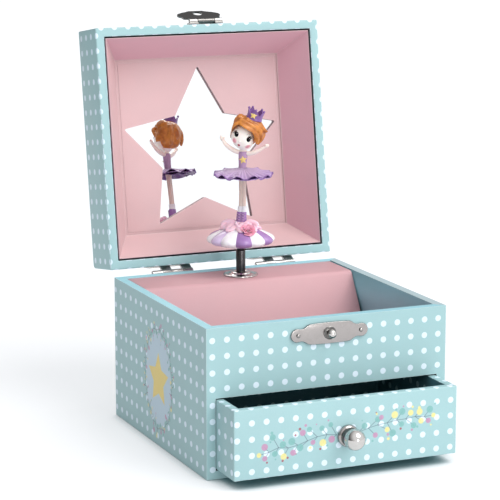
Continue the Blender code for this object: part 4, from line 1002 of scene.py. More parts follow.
def build_drawer():
    low, high = extent("drawer_front", DRAWER)
    back_y = extent("drawer_back", DRAWER)[1].y
    thick = high.y - low.y
    floor_top = extent("drawer_bottom", DRAWER)[1].z
    first_x, first_z = DRAWER_FIRST
    bm = tray((low.x, high.x, low.y, back_y),
              (low.x + thick, high.x - thick, low.y + thick, back_y - thick), low.z, high.z, floor_top)
    made = bake(scratch_object(bm), rounded(0.7, 3))
    screw = middle("knob_screw", DRAWER)
    carve(made, [rod(1.6, -low.y - thick - 1, thick + 2, (screw.x, 0, screw.z), "Y", 24)])

    def where(centre, normal):
        if normal.y < -0.9 and centre.y < low.y + 0.2:
            return 1
        # Zone 2, the drawer's inner walls, gets the darkened dotted paper: painted shade.
        between = low.y + thick - 0.1 < centre.y < back_y - thick + 0.1
        inside = between and abs(centre.x) < high.x - thick + 0.1
        return 2 if inside and low.z + 1 < centre.z < high.z - 0.3 else 0

    def fold(p, centre):
        """The paper carries on over the rim, with half a dot along its edge."""
        if centre.z < high.z - 1:
            return p.x - first_x, p.y - low.y
        if centre.y - low.y < thick:
            return p.x - first_x, p.y - low.y - 1.35
        if high.x - abs(centre.x) < thick:
            return p.y - low.y - 3.2, high.x - abs(p.x) - 1.35
        return p.x - first_x, back_y - p.y - 1.35

    lay_paper(made, (first_x, low.y + 3.2, first_z), fold,
              prints=lambda p, main: (p.x if main == 1 else NO_PRINT, p.z - GARLAND_Z))
    piece("drawer_case", made, [dotted, dotted_garland, painted_shade_dotted], "drawer",
          DRAWER, stands_for=DRAWER_PARTS, zone=where)


build_drawer()


# ---------------------------------------------------------------- the CAD nodes that are carried over

def dress(names, look, bevel=0.0, under=None):
    """Give CAD nodes their material, another one underneath, and soften their edges."""
    for name in names.split():
        mesh = nodes[name].data
        mesh.materials.clear()
        mesh.materials.append(look)
        if under:
            mesh.materials.append(under)
            for face in mesh.polygons:
                face.material_index = 1 if face.normal.z < -0.5 else 0
        mesh.shade_smooth()
        mesh.set_sharp_from_angle(angle=math.radians(35))
        if bevel:
            step = nodes[name].modifiers.new("edges", "BEVEL")
            step.width = bevel * MM
            step.segments = 2
            step.limit_method = "ANGLE"
            step.angle_limit = math.radians(40)


dress("hinge_left_body_leaf hinge_right_body_leaf hinge_left_lid_leaf hinge_right_lid_leaf "
      "hasp_bracket", hinge_steel, 0.12)
# The hasp leaf gets the near-black steel: a painted dark reflection.
dress("hasp_leaf", steel_painted_shade_and_reflection, 0.12)
dress("hinge_left_pin hinge_right_pin hasp_pin", bright_nickel)
dress("winding_key", nickel, 0.2)
dress("music_comb mainspring", steel)
dress("comb_screw_low comb_screw_high movement_screw_left movement_screw_right knob_screw", steel, 0.08)
dress("movement_bedplate spring_housing", zinc, 0.2)
dress("pin_cylinder cylinder_gear great_wheel", brass)
dress("intermediate_wheel governor_worm governor_fan", nylon)
dress("base_magnet", ferrite, 0.2)
dress("lid_mirror", silvered)
# The compartment floor's underside gets the near-black paper: painted shade.
dress("compartment_floor", lining, under=painted_shade_paper)
dress("mechanism_partition", board)


# ---------------------------------------------------------------- the dancer

# Places on the dancer are in millimetres, before it turns on its post.
base_low, base_high = extent("figure_base")
BASE_R = (base_high.x - base_low.x) / 2
BASE_Z = base_low.z
FOOT = base_high.z - 1.0
HEAD = Vector((1.3, -0.6, 173.2))
HEAD_R = Vector((7.1, 6.7, 7.3))
JAW = 8.4
JAW_LEAN = 1.3
EYES = ((-1.35, 175.2), (5.9, 172.0))
EYE_LEAN = 14
MOUTH = (-0.1, 168.5)
CHEEKS = ((-2.7, 171.3), (5.2, 167.6))
TUTU_X = 1.6
TUTU_FOLDS = 42
LOBES = 12
LOBE_TURN = 16.0
STRIPES = ((0.5, (0.34, 0.19, 0.44)), (1.5, (0.90, 0.88, 0.90)), (2.5, (0.34, 0.19, 0.44)),
           (3.5, (0.90, 0.88, 0.90)), (4.5, (0.62, 0.50, 0.70)))
STRIPE_START = 4.0

white_paint = moulded("white_paint", (0.80, 0.78, 0.81), (0.66, 0.62, 0.70), 0.3)
lilac_paint = moulded("lilac_paint", (0.42, 0.26, 0.42), (0.33, 0.18, 0.34), 0.32)
purple_paint = moulded("purple_paint", (0.22, 0.105, 0.32), (0.14, 0.05, 0.22), 0.25)
shoe_paint = moulded("shoe_paint", (0.32, 0.16, 0.42), (0.22, 0.09, 0.32), 0.25)
pink_paint = moulded("pink_paint", (0.86, 0.58, 0.68), (0.80, 0.42, 0.55), 0.24, soft=0.3)
rose_paint = moulded("rose_paint", (0.80, 0.36, 0.48), (0.66, 0.18, 0.30), 0.26, soft=0.2)
yellow_paint = moulded("yellow_paint", (0.80, 0.60, 0.20), (0.70, 0.46, 0.10), 0.3)
black_paint = moulded("black_paint", (0.006, 0.005, 0.007), (0.014, 0.012, 0.016), 0.6, fibre=0.004,
                      gloss=0.08)
mouth_paint = moulded("mouth_paint", (0.46, 0.05, 0.07), (0.33, 0.03, 0.045), 0.3)
hair_paint = moulded("hair_paint", (0.62, 0.225, 0.035), (0.30, 0.075, 0.014), 0.22, per_mm=0.24,
                     amount=0.85)


def dancer_piece(name, source, look, stands_for=(), smooth=35):
    piece(name, source, look, "dancer", DANCER, stands_for, smooth=smooth)


def on_head(x, z, proud=0.0):
    """A point on the face at height z and side x, and the turn that lies flat on it there."""
    low = max(0.0, (HEAD.z - z) / JAW)
    dx = (x - HEAD.x - JAW_LEAN * low * low) / HEAD_R.x
    dz = (z - HEAD.z) / (JAW if low else HEAD_R.z)
    dy = -math.sqrt(max(0.0, 1.0 - dx * dx - dz * dz))
    normal = Vector((dx / HEAD_R.x, dy / HEAD_R.y, dz / HEAD_R.z)).normalized()
    point = Vector((x, HEAD.y + dy * HEAD_R.y, z)) + normal * proud
    return point, normal.to_track_quat("Z", "Y").to_matrix().to_4x4()


def face_patch(x, z, wide, tall, thick=0.3, lean=0.0, proud=0.0):
    point, turn = on_head(x, z, proud)
    return blob((wide, tall, thick), point, turn @ rotate(lean, "Z"), 24, 12)


def skin_look():
    """Pale skin, a little warmer and duller on the stockinged legs."""
    look = Look("painted_skin")
    streak = look.mul(look.step(look.noise(0.35, 3.0, 0.6), 0.3, 0.75), 0.35)
    shade = look.mix(streak, (0.89, 0.77, 0.71), (0.85, 0.68, 0.61))
    stocking = look.mix(streak, (0.74, 0.58, 0.52), (0.66, 0.50, 0.43))
    shade = look.mix(look.step(look.split(look.place)[2], 152.0, 147.0), shade, stocking)
    fine = look.noise(2.6, 2.0)
    look.bump(fine, 0.03)
    look.set(Subsurface_Weight=0.15, Subsurface_Scale=2.0 * MM, Subsurface_Radius=(1.0, 0.45, 0.3))
    return look.set(Base_Color=shade, Roughness=look.math("MULTIPLY_ADD", fine, 0.12, 0.28))


def face_skin():
    """Skin with blushed cheeks."""
    look = Look("painted_face")
    shade = look.tint(look.noise(0.3, 2.0), 0.2, (0.93, 0.86, 0.81), (0.90, 0.78, 0.72))
    for x, z in CHEEKS:
        place = DANCER @ on_head(x, z)[0]
        far = look.vector("LENGTH", look.vector("SUBTRACT", look.place, tuple(place)))
        shade = look.tint(look.step(far, 2.2, 1.0), 0.8, shade, (0.72, 0.22, 0.30))
    look.bump(look.noise(2.0, 2.0), 0.01)
    look.set(Subsurface_Weight=0.12, Subsurface_Scale=1.5 * MM, Subsurface_Radius=(1.0, 0.4, 0.25))
    return look.set(Base_Color=shade, Roughness=0.36)


def build_head():
    face = blob((1.0, 1.0, 1.0), sides=48, rings=32)
    for vert in face.verts:
        low = max(0.0, -vert.co.z)
        vert.co = HEAD + Vector((HEAD_R.x * vert.co.x + JAW_LEAN * low * low, HEAD_R.y * vert.co.y,
                                 (JAW if low else HEAD_R.z) * vert.co.z))
    shapes = [face, face_patch(-2.8, 171.2, 1.8, 1.6, 0.55), face_patch(5.3, 168.2, 1.8, 1.6, 0.55),
              face_patch(0.7, 170.9, 0.5, 0.6, 0.6),
              tube([(1.4, 0, 162.5, 1.6), (1.5, 0, 165.0, 1.5), (1.6, -0.2, 168.5, 1.8)], 4, 20)]
    dancer_piece("dancer_head", fused(shapes, 0.28, 8), face_skin(), smooth=180)

    lashes = []
    for x, z in EYES:
        side = -1 if x < 1 else 1
        for k in range(4):
            angle = math.radians(16 + 25 * k)
            a = on_head(x + side * 0.95 * math.cos(angle), z + 1.25 * math.sin(angle), 0.05)[0]
            b = on_head(x + side * 2.35 * math.cos(angle * 0.9), z + 0.3 + 2.1 * math.sin(angle),
                        0.18)[0]
            lashes.append(tube([(*a, 0.30), (*((a + b) / 2), 0.22), (*b, 0.07)], 3, 8))
        brow = []
        for k in range(5):
            arch = math.sin(math.pi * k / 4)
            brow.append((*on_head(x - 1.4 + 2.8 * k / 4, z + 2.85 + 0.5 * arch, 0.03)[0],
                         0.03 + 0.05 * arch))
        lashes.append(tube(brow, 3, 8))
    eyes = [face_patch(x, z, 1.4, 1.6, 0.25, EYE_LEAN) for x, z in EYES]
    dancer_piece("dancer_eyes", merged(eyes), black_paint)
    dancer_piece("dancer_lashes", merged(lashes), black_paint)
    glints = [face_patch(x + 0.4, z + 0.6, 0.2, 0.25, 0.12, 0, 0.2) for x, z in EYES]
    dancer_piece("dancer_eye_glints", merged(glints), white_paint)
    x, z = MOUTH
    lips = [face_patch(x - 0.32, z + 0.25, 0.62, 0.42, 0.3, 20),
            face_patch(x + 0.3, z + 0.12, 0.62, 0.42, 0.3, -20), face_patch(x, z - 0.3, 0.7, 0.42, 0.32)]
    dancer_piece("dancer_mouth", fused(lips, 0.1, 3), mouth_paint, smooth=180)


def build_figure():
    limbs = [
        tube([(-0.2, 0, 162.9, 1.4), (-3.6, -0.3, 164.1, 1.45), (-6.8, -0.9, 166.1, 1.4),
              (-9.1, -1.2, 168.2, 1.2), (-10.2, -1.6, 169.8, 1.0), (-10.8, -1.9, 170.9, 0.9)], 5),
        tube([(3.2, 0, 162.9, 1.4), (5.6, -0.3, 162.6, 1.45), (8.9, -0.9, 163.5, 1.4),
              (11.4, -1.2, 164.7, 1.25), (13.8, -1.6, 166.2, 1.05), (15.4, -1.9, 167.1, 0.9)], 5),
        tube([(-10.6, -1.8, 170.5, 0.8), (-11.0, -2.0, 171.6, 1.4, 0.7),
              (-11.5, -2.1, 172.7, 1.25, 0.6), (-12.0, -2.2, 173.6, 0.6, 0.6)], 4, 16),
        tube([(-10.8, -2.3, 171.2, 0.5), (-9.8, -2.7, 172.1, 0.5), (-9.3, -2.9, 172.8, 0.4)], 3, 12),
        tube([(15.0, -1.8, 166.9, 0.8), (16.2, -2.0, 167.7, 1.25, 0.7),
              (17.2, -2.1, 168.2, 1.1, 0.6), (18.0, -2.2, 168.4, 0.55, 0.6)], 4, 16),
        tube([(15.6, -2.3, 167.3, 0.5), (15.9, -2.8, 168.2, 0.45), (16.3, -3.0, 168.8, 0.35)], 3, 12),
        tube([(1.1, 0, 148.0, 2.1), (1.1, 0, 154.0, 2.0), (1.2, 0, 158.0, 2.2, 0.9),
              (1.4, 0, 162.0, 2.5, 0.88), (1.45, 0, 164.4, 2.1, 0.85), (1.5, 0, 165.6, 1.5)], 5, 28),
        tube([(-0.2, 0.1, 126.5, 1.25), (0.1, 0.1, 132.0, 1.25), (0.2, 0.1, 138.0, 1.3),
              (0.2, 0.1, 149.5, 1.35)]),
        tube([(1.9, -0.1, 126.5, 1.25), (2.1, -0.1, 132.0, 1.25), (2.15, -0.1, 138.0, 1.3),
              (2.1, -0.1, 149.5, 1.35)]),
    ]
    dancer_piece("dancer_figure", fused(limbs, 0.3, 5), skin_look(), stands_for=("figure_body",),
                 smooth=180)
    bodice = tube([(1.1, 0, 150.5, 2.6), (1.1, 0, 153.5, 2.4), (1.2, 0, 157.0, 2.55, 0.95),
                   (1.4, 0, 160.5, 2.8, 0.92), (1.5, 0, 163.2, 2.85, 0.9),
                   (1.5, 0, 163.9, 2.5, 0.88)], 6, 36)
    dancer_piece("dancer_bodice", bodice, lilac_paint, smooth=60)
    socks = [tube([(-0.4, 0.1, 125.0, 1.6), (-0.3, 0.1, 127.5, 1.6), (-0.1, 0.1, 129.4, 1.65),
                   (-0.1, 0.1, 129.9, 1.45)], 4, 24),
             tube([(1.8, -0.1, 125.0, 1.6), (1.9, -0.1, 127.5, 1.6), (2.0, -0.1, 129.4, 1.65),
                   (2.0, -0.1, 129.9, 1.45)], 4, 24)]
    dancer_piece("dancer_socks", merged(socks), white_paint, smooth=50)
    shoes = [tube([(-0.8, 0.2, FOOT - 0.6, 2.0), (-0.8, 0.1, FOOT + 1.8, 2.05),
                   (-0.7, 0.1, 123.5, 1.95), (-0.5, 0.1, 126.0, 1.85), (-0.5, 0.1, 126.3, 1.5)], 5, 24),
             tube([(1.6, -0.2, FOOT - 0.6, 2.0), (1.7, -0.1, FOOT + 1.8, 2.05),
                   (1.7, -0.1, 123.5, 1.95), (1.8, -0.1, 126.0, 1.85), (1.8, -0.1, 126.3, 1.5)], 5, 24),
             blob((1.9, 2.6, 1.2), (-0.8, -0.9, FOOT + 0.3)), blob((1.9, 2.6, 1.2), (1.7, -1.2, FOOT + 0.3))]
    dancer_piece("dancer_shoes", fused(shoes, 0.22, 3), shoe_paint, smooth=180)
    laces = []
    for x in (-0.7, 1.65):
        for z in (120.6, 122.3, 124.0):
            for reach in (1.5, -1.5):
                laces.append(tube([(x - reach, -1.25, z, 0.2), (x, -2.15, z + 0.85, 0.26),
                                   (x + reach, -1.25, z + 1.7, 0.2)], 4, 8))
    dancer_piece("dancer_laces", merged(laces), lilac_paint)


def star_badge(outer, thick):
    bm = bmesh.new()
    rim = [bm.verts.new((*p, 0)) for p in star_corners(outer, outer * 0.5, 90)]
    top = bm.verts.new((0, 0, thick))
    under = bm.verts.new((0, 0, -thick))
    for i in range(10):
        n = (i + 1) % 10
        bm.faces.new((rim[i], rim[n], top))
        bm.faces.new((rim[n], rim[i], under))
    return bm


def polar(look, x=0.0):
    """How far out a place is from an upright line through the dancer, and in which direction."""
    x, y, _ = look.split(look.vector("SUBTRACT", look.place, tuple(DANCER @ Vector((x, 0, 0)))))
    return look.span(x, y), look.math("ARCTAN2", y, x)


def tutu_look():
    """Lilac that deepens towards the hem, in radial folds, with painted shade in the fold troughs, along the
    rolled hem and on the faces that look down.
    """
    look = Look("tutu_plastic")
    far, angle = polar(look, TUTU_X)
    fold = look.math("SINE", look.mul(angle, float(TUTU_FOLDS)))
    shade = look.mix(look.step(far, 5.0, 17.0), (0.56, 0.42, 0.60), (0.45, 0.32, 0.54))
    # Painted shade: the fold troughs turn darker purple.
    shade = look.tint(look.step(fold, -0.1, 1.0), 0.42, shade, (0.28, 0.16, 0.38))
    # Painted shade along the rolled hem.
    shade = look.mix(look.step(far, 17.2, 18.1), shade, (0.20, 0.10, 0.30))
    # Painted shade on the faces that look down.
    down = look.split(look.node("NewGeometry").outputs["Normal"])[2]
    shade = look.mix(look.step(down, 0.0, -0.3), shade, (0.22, 0.12, 0.38))
    look.bump(fold, 0.12)
    return look.set(Base_Color=shade, Roughness=0.34)


def petticoat_look():
    """Deep purple under the skirt, painted shade between the two layers, and lilac again at its own hem; the
    fold troughs are painted shade too.
    """
    look = Look("petticoat_plastic")
    far, angle = polar(look, TUTU_X)
    fold = look.math("SINE", look.mul(angle, float(TUTU_FOLDS)))
    # Painted shade: dark purple inside the hem, and darker fold troughs.
    shade = look.mix(look.step(far, 17.0, 17.6), (0.12, 0.05, 0.20), (0.36, 0.23, 0.48))
    shade = look.tint(look.step(fold, -0.2, 1.0), 0.3, shade, (0.16, 0.08, 0.26))
    look.bump(fold, 0.1)
    return look.set(Base_Color=shade, Roughness=0.36)


TUTU_RADII = (1.8, 4.0, 6.5, 8.8, 11.0, 13.2, 15.2, 16.8, 17.9, 18.35)


def build_tutu():
    bm = bmesh.new()
    layers = []
    for top in (True, False):
        rings = []
        for radius in TUTU_RADII:
            share = (radius - TUTU_RADII[0]) / (TUTU_RADII[-1] - TUTU_RADII[0])

            def place(angle):
                wave = math.sin(11 * angle + 0.4) + 0.3 * math.sin(5 * angle + 1.3)
                fold = 0.12 * math.sin(TUTU_FOLDS * angle) * share
                z = 154.0 - 4.0 * share ** 0.95 + 1.15 * wave * share ** 3 + fold
                reach = radius * (1.0 + 0.012 * math.sin(9 * angle) * share)
                z -= 0.0 if top else 0.75 - 0.45 * share
                return TUTU_X + reach * math.cos(angle), reach * math.sin(angle), z
            rings.append(ring_of(bm, 144, place))
        layers.append(rings)
    upper, lower = layers
    stitch(bm, upper)
    stitch(bm, lower, flip=True)
    for k in (0, -1):
        stitch(bm, [upper[k], lower[k]])
    dancer_piece("dancer_tutu", bm, tutu_look(), ("tutu",), 60)

    under = []
    for hem, waves, drop in ((17.7, 6, 1.05), (13.2, 10, 1.61)):
        layer = bmesh.new()
        rows = []
        line = ((1.8, 0.0), (7.0, 1.1), (hem - 2, 2.9), (hem, 3.4))
        for radius, fall in line + tuple((r, f + 0.4) for r, f in line[::-1]):
            def place(angle):
                ripple = 0.4 * math.sin(waves * angle) * (radius / hem) ** 2
                z = 153.6 - fall - drop + ripple
                return TUTU_X + radius * math.cos(angle), radius * math.sin(angle), z
            rows.append(ring_of(layer, 96, place))
        under.append(stitch(layer, rows, closed=True))
    dancer_piece("dancer_petticoat", merged(under), petticoat_look(), smooth=60)
    badge = wrap(star_badge(2.6, 0.45), move(1.9, -2.55, 158.9) @ rotate(90, "X") @ rotate(8, "Z"))
    dancer_piece("bodice_star", badge, yellow_paint, smooth=10)


LOCKS = (
    ((0.4, -5.4, 182.0, 1.5), (2.6, -6.9, 180.2, 1.7), (5.6, -6.9, 178.4, 1.8), (8.6, -5.2, 176.2, 1.9),
     (10.4, -3.4, 172.6, 1.9), (10.2, -2.0, 168.8, 0.6)),
    ((-0.2, -5.4, 182.2, 1.4), (-2.2, -5.8, 180.9, 1.4), (-3.6, -4.4, 178.4, 1.2),
     (-4.3, -2.6, 175.6, 1.0), (-4.7, -1.6, 173.2, 0.5)),
    ((0.0, -4.4, 183.6, 1.6), (4.0, -5.2, 182.0, 1.9), (8.0, -4.8, 179.8, 2.0), (11.6, -3.0, 177.0, 1.8),
     (12.6, -1.6, 172.6, 1.6), (10.8, -1.0, 168.2, 0.5)),
    ((4.0, -3.0, 184.0, 1.6), (9.0, -2.4, 181.6, 1.8), (13.0, -1.0, 178.6, 1.8), (15.4, 0.2, 176.6, 1.1),
     (16.8, 0.8, 176.3, 0.3)),
    ((6.0, 3.0, 183.0, 2.0), (11.0, 2.4, 179.6, 2.4), (13.4, 1.8, 175.4, 2.0), (12.2, 1.0, 171.2, 1.6),
     (10.0, 0.6, 168.0, 0.5)),
    ((-0.2, -1.6, 185.2, 1.3), (-2.3, -1.4, 183.8, 1.2), (-3.3, 0.0, 180.0, 1.5),
     (-3.8, 1.6, 175.6, 1.4), (-3.0, 3.2, 171.4, 1.0)),
    ((0.0, 6.0, 182.0, 1.8), (-1.8, 7.8, 177.0, 1.9), (-2.2, 7.8, 171.6, 1.7), (-2.6, 7.0, 168.2, 0.5)),
    ((3.6, 6.8, 182.0, 1.8), (3.4, 9.0, 177.0, 1.9), (3.6, 8.8, 171.4, 1.8), (4.0, 7.4, 167.6, 0.7)),
    ((7.6, 5.6, 181.4, 1.8), (9.6, 7.4, 177.0, 1.9), (9.8, 7.2, 171.8, 1.8), (10.6, 6.4, 168.4, 0.5)),
)
FACE_OPENING = ((-12.0, 160.0), (-12.0, 174.6), (-5.2, 175.4), (-4.0, 178.2), (-1.6, 180.6),
                (0.6, 181.4), (3.0, 180.0), (6.0, 178.2), (8.6, 176.4), (9.6, 173.6), (9.7, 170.0),
                (8.8, 160.0))
LEFT_OPENING = ((-12.0, 160.0), (-12.0, 173.0), (-3.6, 171.6), (-2.6, 160.0))


def build_hair():
    mass = [
        blob((9.5, 8.2, 8.6), (4.4, 1.8, 177.4), sides=40, rings=24),
        blob((3.6, 4.4, 3.6), (-0.3, 1.2, 182.5), sides=28, rings=16),
        blob((2.7, 3.4, 2.6), (-0.1, 0.6, 184.3), sides=28, rings=16),
        blob((5.4, 6.0, 5.4), (9.6, 1.8, 175.6), rotate(14, "Y"), 32, 20),
        blob((6.6, 5.0, 6.6), (3.4, 4.8, 173.2), sides=32, rings=20),
        blob((6.5, 4.4, 5.8), (1.0, 4.3, 172.6), sides=32, rings=20),
        blob((7.75, 7.3, 7.7), (1.3, 0.3, 173.9), sides=48, rings=28),
    ]
    made = fused(mass + [tube(path, 6, 18) for path in LOCKS], 0.35, 4)
    head_room = blob((HEAD_R.x + 0.25, HEAD_R.y + 0.15, HEAD_R.z + 0.1), HEAD, sides=40, rings=28)
    carve(made, [sheet(FACE_OPENING, -19.3, -2.13, "Y"), sheet(LEFT_OPENING, -19.7, 1.57, "Y"),
                 head_room])
    dancer_piece("dancer_hair", made, hair_paint, ("figure_hair",), 50)


# Rings up the crown's outside and down its inside: radius, height, and 1 on the pointed rim.
CROWN = ((4.85, 0.0, 0), (5.1, 0.5, 0), (4.85, 1.0, 0), (4.85, 2.6, 0), (4.95, 3.9, 1), (4.3, 3.9, 1),
         (4.2, 2.6, 0), (4.2, 0.0, 0))


def build_crown():
    tilt = move(8.0, 1.0, 183.4) @ rotate(17, "Y")
    bm = bmesh.new()
    rows = []
    for radius, height, pointed in CROWN:
        def place(angle):
            wave = abs(math.cos(2.5 * angle + 0.6)) ** 1.3
            flare = radius + pointed * 0.25 * wave
            return (flare * math.cos(angle), flare * math.sin(angle),
                    height + pointed * (3.0 * wave - 0.6))
        rows.append(ring_of(bm, 80, place))
    parts = [stitch(bm, rows, closed=True)]
    for k in range(5):
        angle = (math.pi * k - 0.6) / 2.5
        parts.append(blob((0.75, 0.75, 0.85), (5.0 * math.cos(angle), 5.0 * math.sin(angle), 6.5),
                          sides=16, rings=10))
    dancer_piece("dancer_crown", wrap(merged(parts), tilt), purple_paint,
                 ("figure_crown",), 45)
    badge = wrap(star_badge(2.3, 0.5), tilt @ rotate(-3, "Z") @ move(0, -5.0, 3.2) @ rotate(82, "X"))
    dancer_piece("crown_star", badge, yellow_paint, smooth=10)


def base_look():
    """White, lilac and purple stripes in turn on the lobes of the base."""
    look = Look("striped_base")
    angle = polar(look)[1]
    turn = math.radians(TURN + LOBE_TURN)
    lobe = look.math("DIVIDE", look.sub(angle, turn - math.tau), math.tau / LOBES)
    count = look.math("FLOOR", look.add(lobe, 0.5))
    kind = look.math("MODULO", look.add(count, STRIPE_START), 6.0)
    shade = (0.90, 0.87, 0.90)
    for edge, paint in STRIPES:
        shade = look.mix(look.math("GREATER_THAN", kind, edge), shade, paint)
    shade = look.tint(look.step(look.noise(0.5, 3.0), 0.4, 0.8), 0.18, shade, (0.5, 0.3, 0.55))
    look.bump(look.noise(1.4, 2.0), 0.03)
    return look.set(Base_Color=shade, Roughness=0.22, Specular_IOR_Level=0.55)


def puff(length, width, thick):
    """A plump petal along +x, with a crease down its middle and a lifted rim."""
    bm = blob((1.0, 1.0, 1.0), sides=36, rings=20)
    for vert in bm.verts:
        x, y, z = vert.co
        crease = 0.42 * math.exp(-(y / 0.22) ** 2) * (1 - x * x) if z > 0 else 0.0
        vert.co = Vector((length * x, width * y * (1 - 0.22 * x), thick * (z - crease) + 0.35 * y * y))
    return bm


def petal(length, width, thick):
    """A cupped petal that starts at the origin and runs along +x."""
    bm = bmesh.new()
    steps = 8
    across = 6
    layers = []
    for level in (-0.5, 0.5):
        grid = []
        for i in range(steps + 1):
            t = i / steps
            half = width * math.sin(math.pi * (0.11 + 0.865 * t)) ** 0.62
            row = []
            for j in range(across + 1):
                s = 2 * j / across - 1
                edge = (1 - s * s) * (1 - (2 * t - 1) ** 4)
                z = 0.17 * width * s * s - 0.18 * length * (t - 0.5) ** 2 * 2 + thick * edge * level
                row.append(bm.verts.new((length * (t - 0.35), half * s, z)))
            grid.append(row)
        layers.append(grid)
    for grid in layers:
        for i in range(steps):
            for j in range(across):
                bm.faces.new((grid[i][j], grid[i + 1][j], grid[i + 1][j + 1], grid[i][j + 1]))
    bmesh.ops.remove_doubles(bm, verts=bm.verts, dist=0.001)
    return bm


def groove(angle):
    return 1 - abs(math.cos(LOBES * (angle - math.radians(LOBE_TURN)) / 2)) ** 0.6


def build_base():
    profile = [(0, 2.9), (5.2, 2.9), (5.2, 0.3), (5.6, 0), (9.0, 0.1), (13.0, 1.0), (16.5, 2.0),
               (BASE_R - 2.2, 2.5), (BASE_R - 0.9, 3.2), (BASE_R - 0.1, 4.4), (BASE_R - 0.2, 5.6),
               (BASE_R - 1.3, 6.9), (17.6, 8.2), (14.8, 9.4), (11.6, 10.8), (8.2, 12.0), (4.6, 13.2),
               (0, 13.6)]

    def lobes(angle, radius):
        share = max(0.0, (radius - 8.0) / (BASE_R - 8.0))
        return 1.0 - 0.13 * share ** 2 * groove(angle)

    bm = lathe([(r, BASE_Z + h) for r, h in profile], steps=144, ripple=lobes)
    for vert in bm.verts:
        reach = vert.co.to_2d().length
        if vert.co.z > BASE_Z + 5 and reach > 6:
            vert.co.z -= 0.9 * groove(math.atan2(vert.co.y, vert.co.x)) * (reach - 6) / BASE_R
    dancer_piece("dancer_base", bm, base_look(), ("figure_base",), 60)

    random.seed(11)
    petals = []
    for count, reach, level, slope, size, start in ((8, 8.6, 12.7, 20, (4.9, 3.5, 1.5), 0.2),
                                                    (6, 5.4, 14.6, 10, (3.9, 2.9, 1.3), 0.5)):
        for k in range(count):
            turn = Matrix.Rotation(math.tau * k / count + start, 4, "Z") \
                @ move(reach + random.uniform(-0.6, 0.6), 0, BASE_Z + level) @ rotate(slope, "Y") \
                @ Matrix.Rotation(random.uniform(-0.22, 0.22), 4, "X")
            petals.append(wrap(puff(*size), turn))
    for side in (-1, 1):
        loop = []
        for k in range(9):
            rise = math.sin(math.tau * k / 8)
            out = 7.6 + 3.4 * math.cos(math.tau * k / 8)
            loop.append((side * out, -3.2 + 1.2 * rise, BASE_Z + 15.8 + 1.7 * rise - 0.2 * out, 1.5, 0.6))
        petals.append(tube(loop, 6, 14))
    dancer_piece("base_petals", fused(petals, 0.3, 2), pink_paint, smooth=180)

    lean = move(6.3, -9.8, BASE_Z + 12.0) @ rotate(38, "X") @ rotate(10, "Y")
    rose = []
    for k in range(11):
        turn = lean @ Matrix.Rotation(2.4 * k, 4, "Z") @ move(0.4 + 0.26 * k, 0, 1.8 - 0.17 * k) \
            @ rotate(-62 + 5.0 * k, "Y")
        rose.append(wrap(petal(1.4 + 0.2 * k, 1.6 + 0.2 * k, 0.6), turn))
    rose.append(wrap(blob((0.9, 0.9, 1.0)), lean @ move(0, 0, 1.4)))
    dancer_piece("base_rose", merged(rose), rose_paint, smooth=70)


build_head()
build_figure()
build_tutu()
build_hair()
build_crown()
build_base()


# ---------------------------------------------------------------- floor, light and camera

# The studio's glow is soft, and strongest towards one side: its direction, then the range of the
# cosine to it, and the strengths at the ends of that range.
SOFTBOX = (0.45, -0.72, 0.53)
SOFTBOX_RANGE = (-0.35, 0.75, 0.16, 1.13)
# Each lamp: the way to it, its strength, its spread in degrees and its colour.
LIGHTS = {
    "key": ((0.35, -0.5, 0.79), 1.65, 38.0, (1.0, 0.985, 0.96)),
    "front": ((0.12, -0.98, 0.1), 0.42, 14.0, (1.0, 0.99, 0.98)),
}
TABLE_GLOW = 0.6
TABLE_SHADE_REACH = 16.0
CAMERA_PLACE = (-0.50599, -1.13233, 0.35898)
CAMERA_DOWN = 11.27
CAMERA_TURN = -23.38


def place_in_scene(name, data):
    made = bpy.data.objects.new(name, data)
    bpy.context.scene.collection.objects.link(made)
    return made


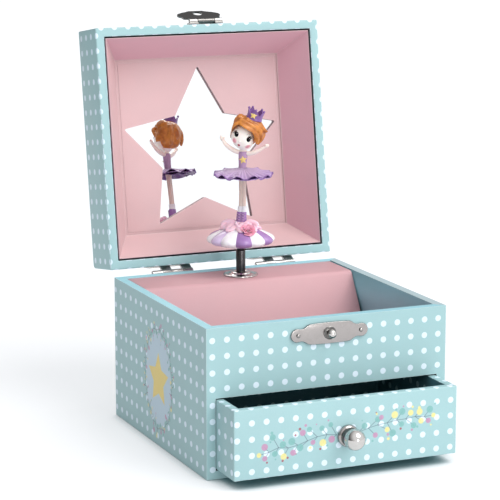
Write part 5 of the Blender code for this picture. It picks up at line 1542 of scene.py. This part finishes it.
def build_floor():
    """A pale table that gives a little light of its own, except close under the box, where its colour turns
    dark teal: a painted contact shadow with a painted teal reflection.
    """
    bm = bmesh.new()
    bmesh.ops.create_grid(bm, x_segments=1, y_segments=1, size=6.0)
    mesh = bpy.data.meshes.new("floor")
    bm.to_mesh(mesh)
    bm.free()
    floor = place_in_scene("floor", mesh)
    floor.location.z = -0.0002
    look = Look("pale_floor")
    shade = look.mix(look.noise(0.01, 2.0), (0.42, 0.43, 0.45), (0.44, 0.445, 0.46))
    # Close under the box the glow fades and the colour turns dark teal: painted contact shadow and painted
    # reflection.
    near = look.node("AmbientOcclusion", Distance=TABLE_SHADE_REACH * MM)
    near.samples = 12
    open_air = look.step(near.outputs["AO"], 0.12, 0.8)
    shade = look.mix(open_air, (0.10, 0.24, 0.26), shade)
    mesh.materials.append(look.set(Base_Color=shade, Roughness=0.6,
                                   Emission_Strength=look.mul(open_air, TABLE_GLOW),
                                   Emission_Color=(0.98, 0.99, 1.0, 1.0)))


def build_studio():
    scene = bpy.context.scene
    scene.world = bpy.data.worlds.new("studio")
    scene.world.use_nodes = True
    tree = scene.world.node_tree
    toward = tree.nodes.new("ShaderNodeVectorMath")
    toward.operation = "DOT_PRODUCT"
    toward.inputs[1].default_value = SOFTBOX
    glow = tree.nodes.new("ShaderNodeMapRange")
    glow.interpolation_type = "SMOOTHSTEP"
    for socket, value in zip(("From Min", "From Max", "To Min", "To Max"), SOFTBOX_RANGE):
        glow.inputs[socket].default_value = value
    sky = tree.nodes["Background"]
    sky.inputs["Color"].default_value = (0.975, 0.985, 1.0, 1.0)
    tree.links.new(tree.nodes.new("ShaderNodeTexCoord").outputs["Generated"], toward.inputs[0])
    tree.links.new(toward.outputs["Value"], glow.inputs["Value"])
    tree.links.new(glow.outputs[0], sky.inputs["Strength"])

    for name, (way, strength, spread, colour) in LIGHTS.items():
        data = bpy.data.lights.new(name, "SUN")
        data.energy = strength
        data.angle = math.radians(spread)
        data.color = colour
        lamp = place_in_scene(name, data)
        lamp.rotation_mode = "QUATERNION"
        lamp.rotation_quaternion = Vector(way).to_track_quat("Z", "Y")

    data = bpy.data.cameras.new("camera")
    data.lens = 153.22
    data.sensor_width = 36.0
    data.clip_start = 0.05
    data.clip_end = 30.0
    camera = place_in_scene("camera", data)
    camera.location = CAMERA_PLACE
    camera.rotation_euler = (math.radians(90 - CAMERA_DOWN), 0.0, math.radians(CAMERA_TURN))
    scene.camera = camera
    scene.view_settings.view_transform = "Standard"


build_floor()
build_studio()
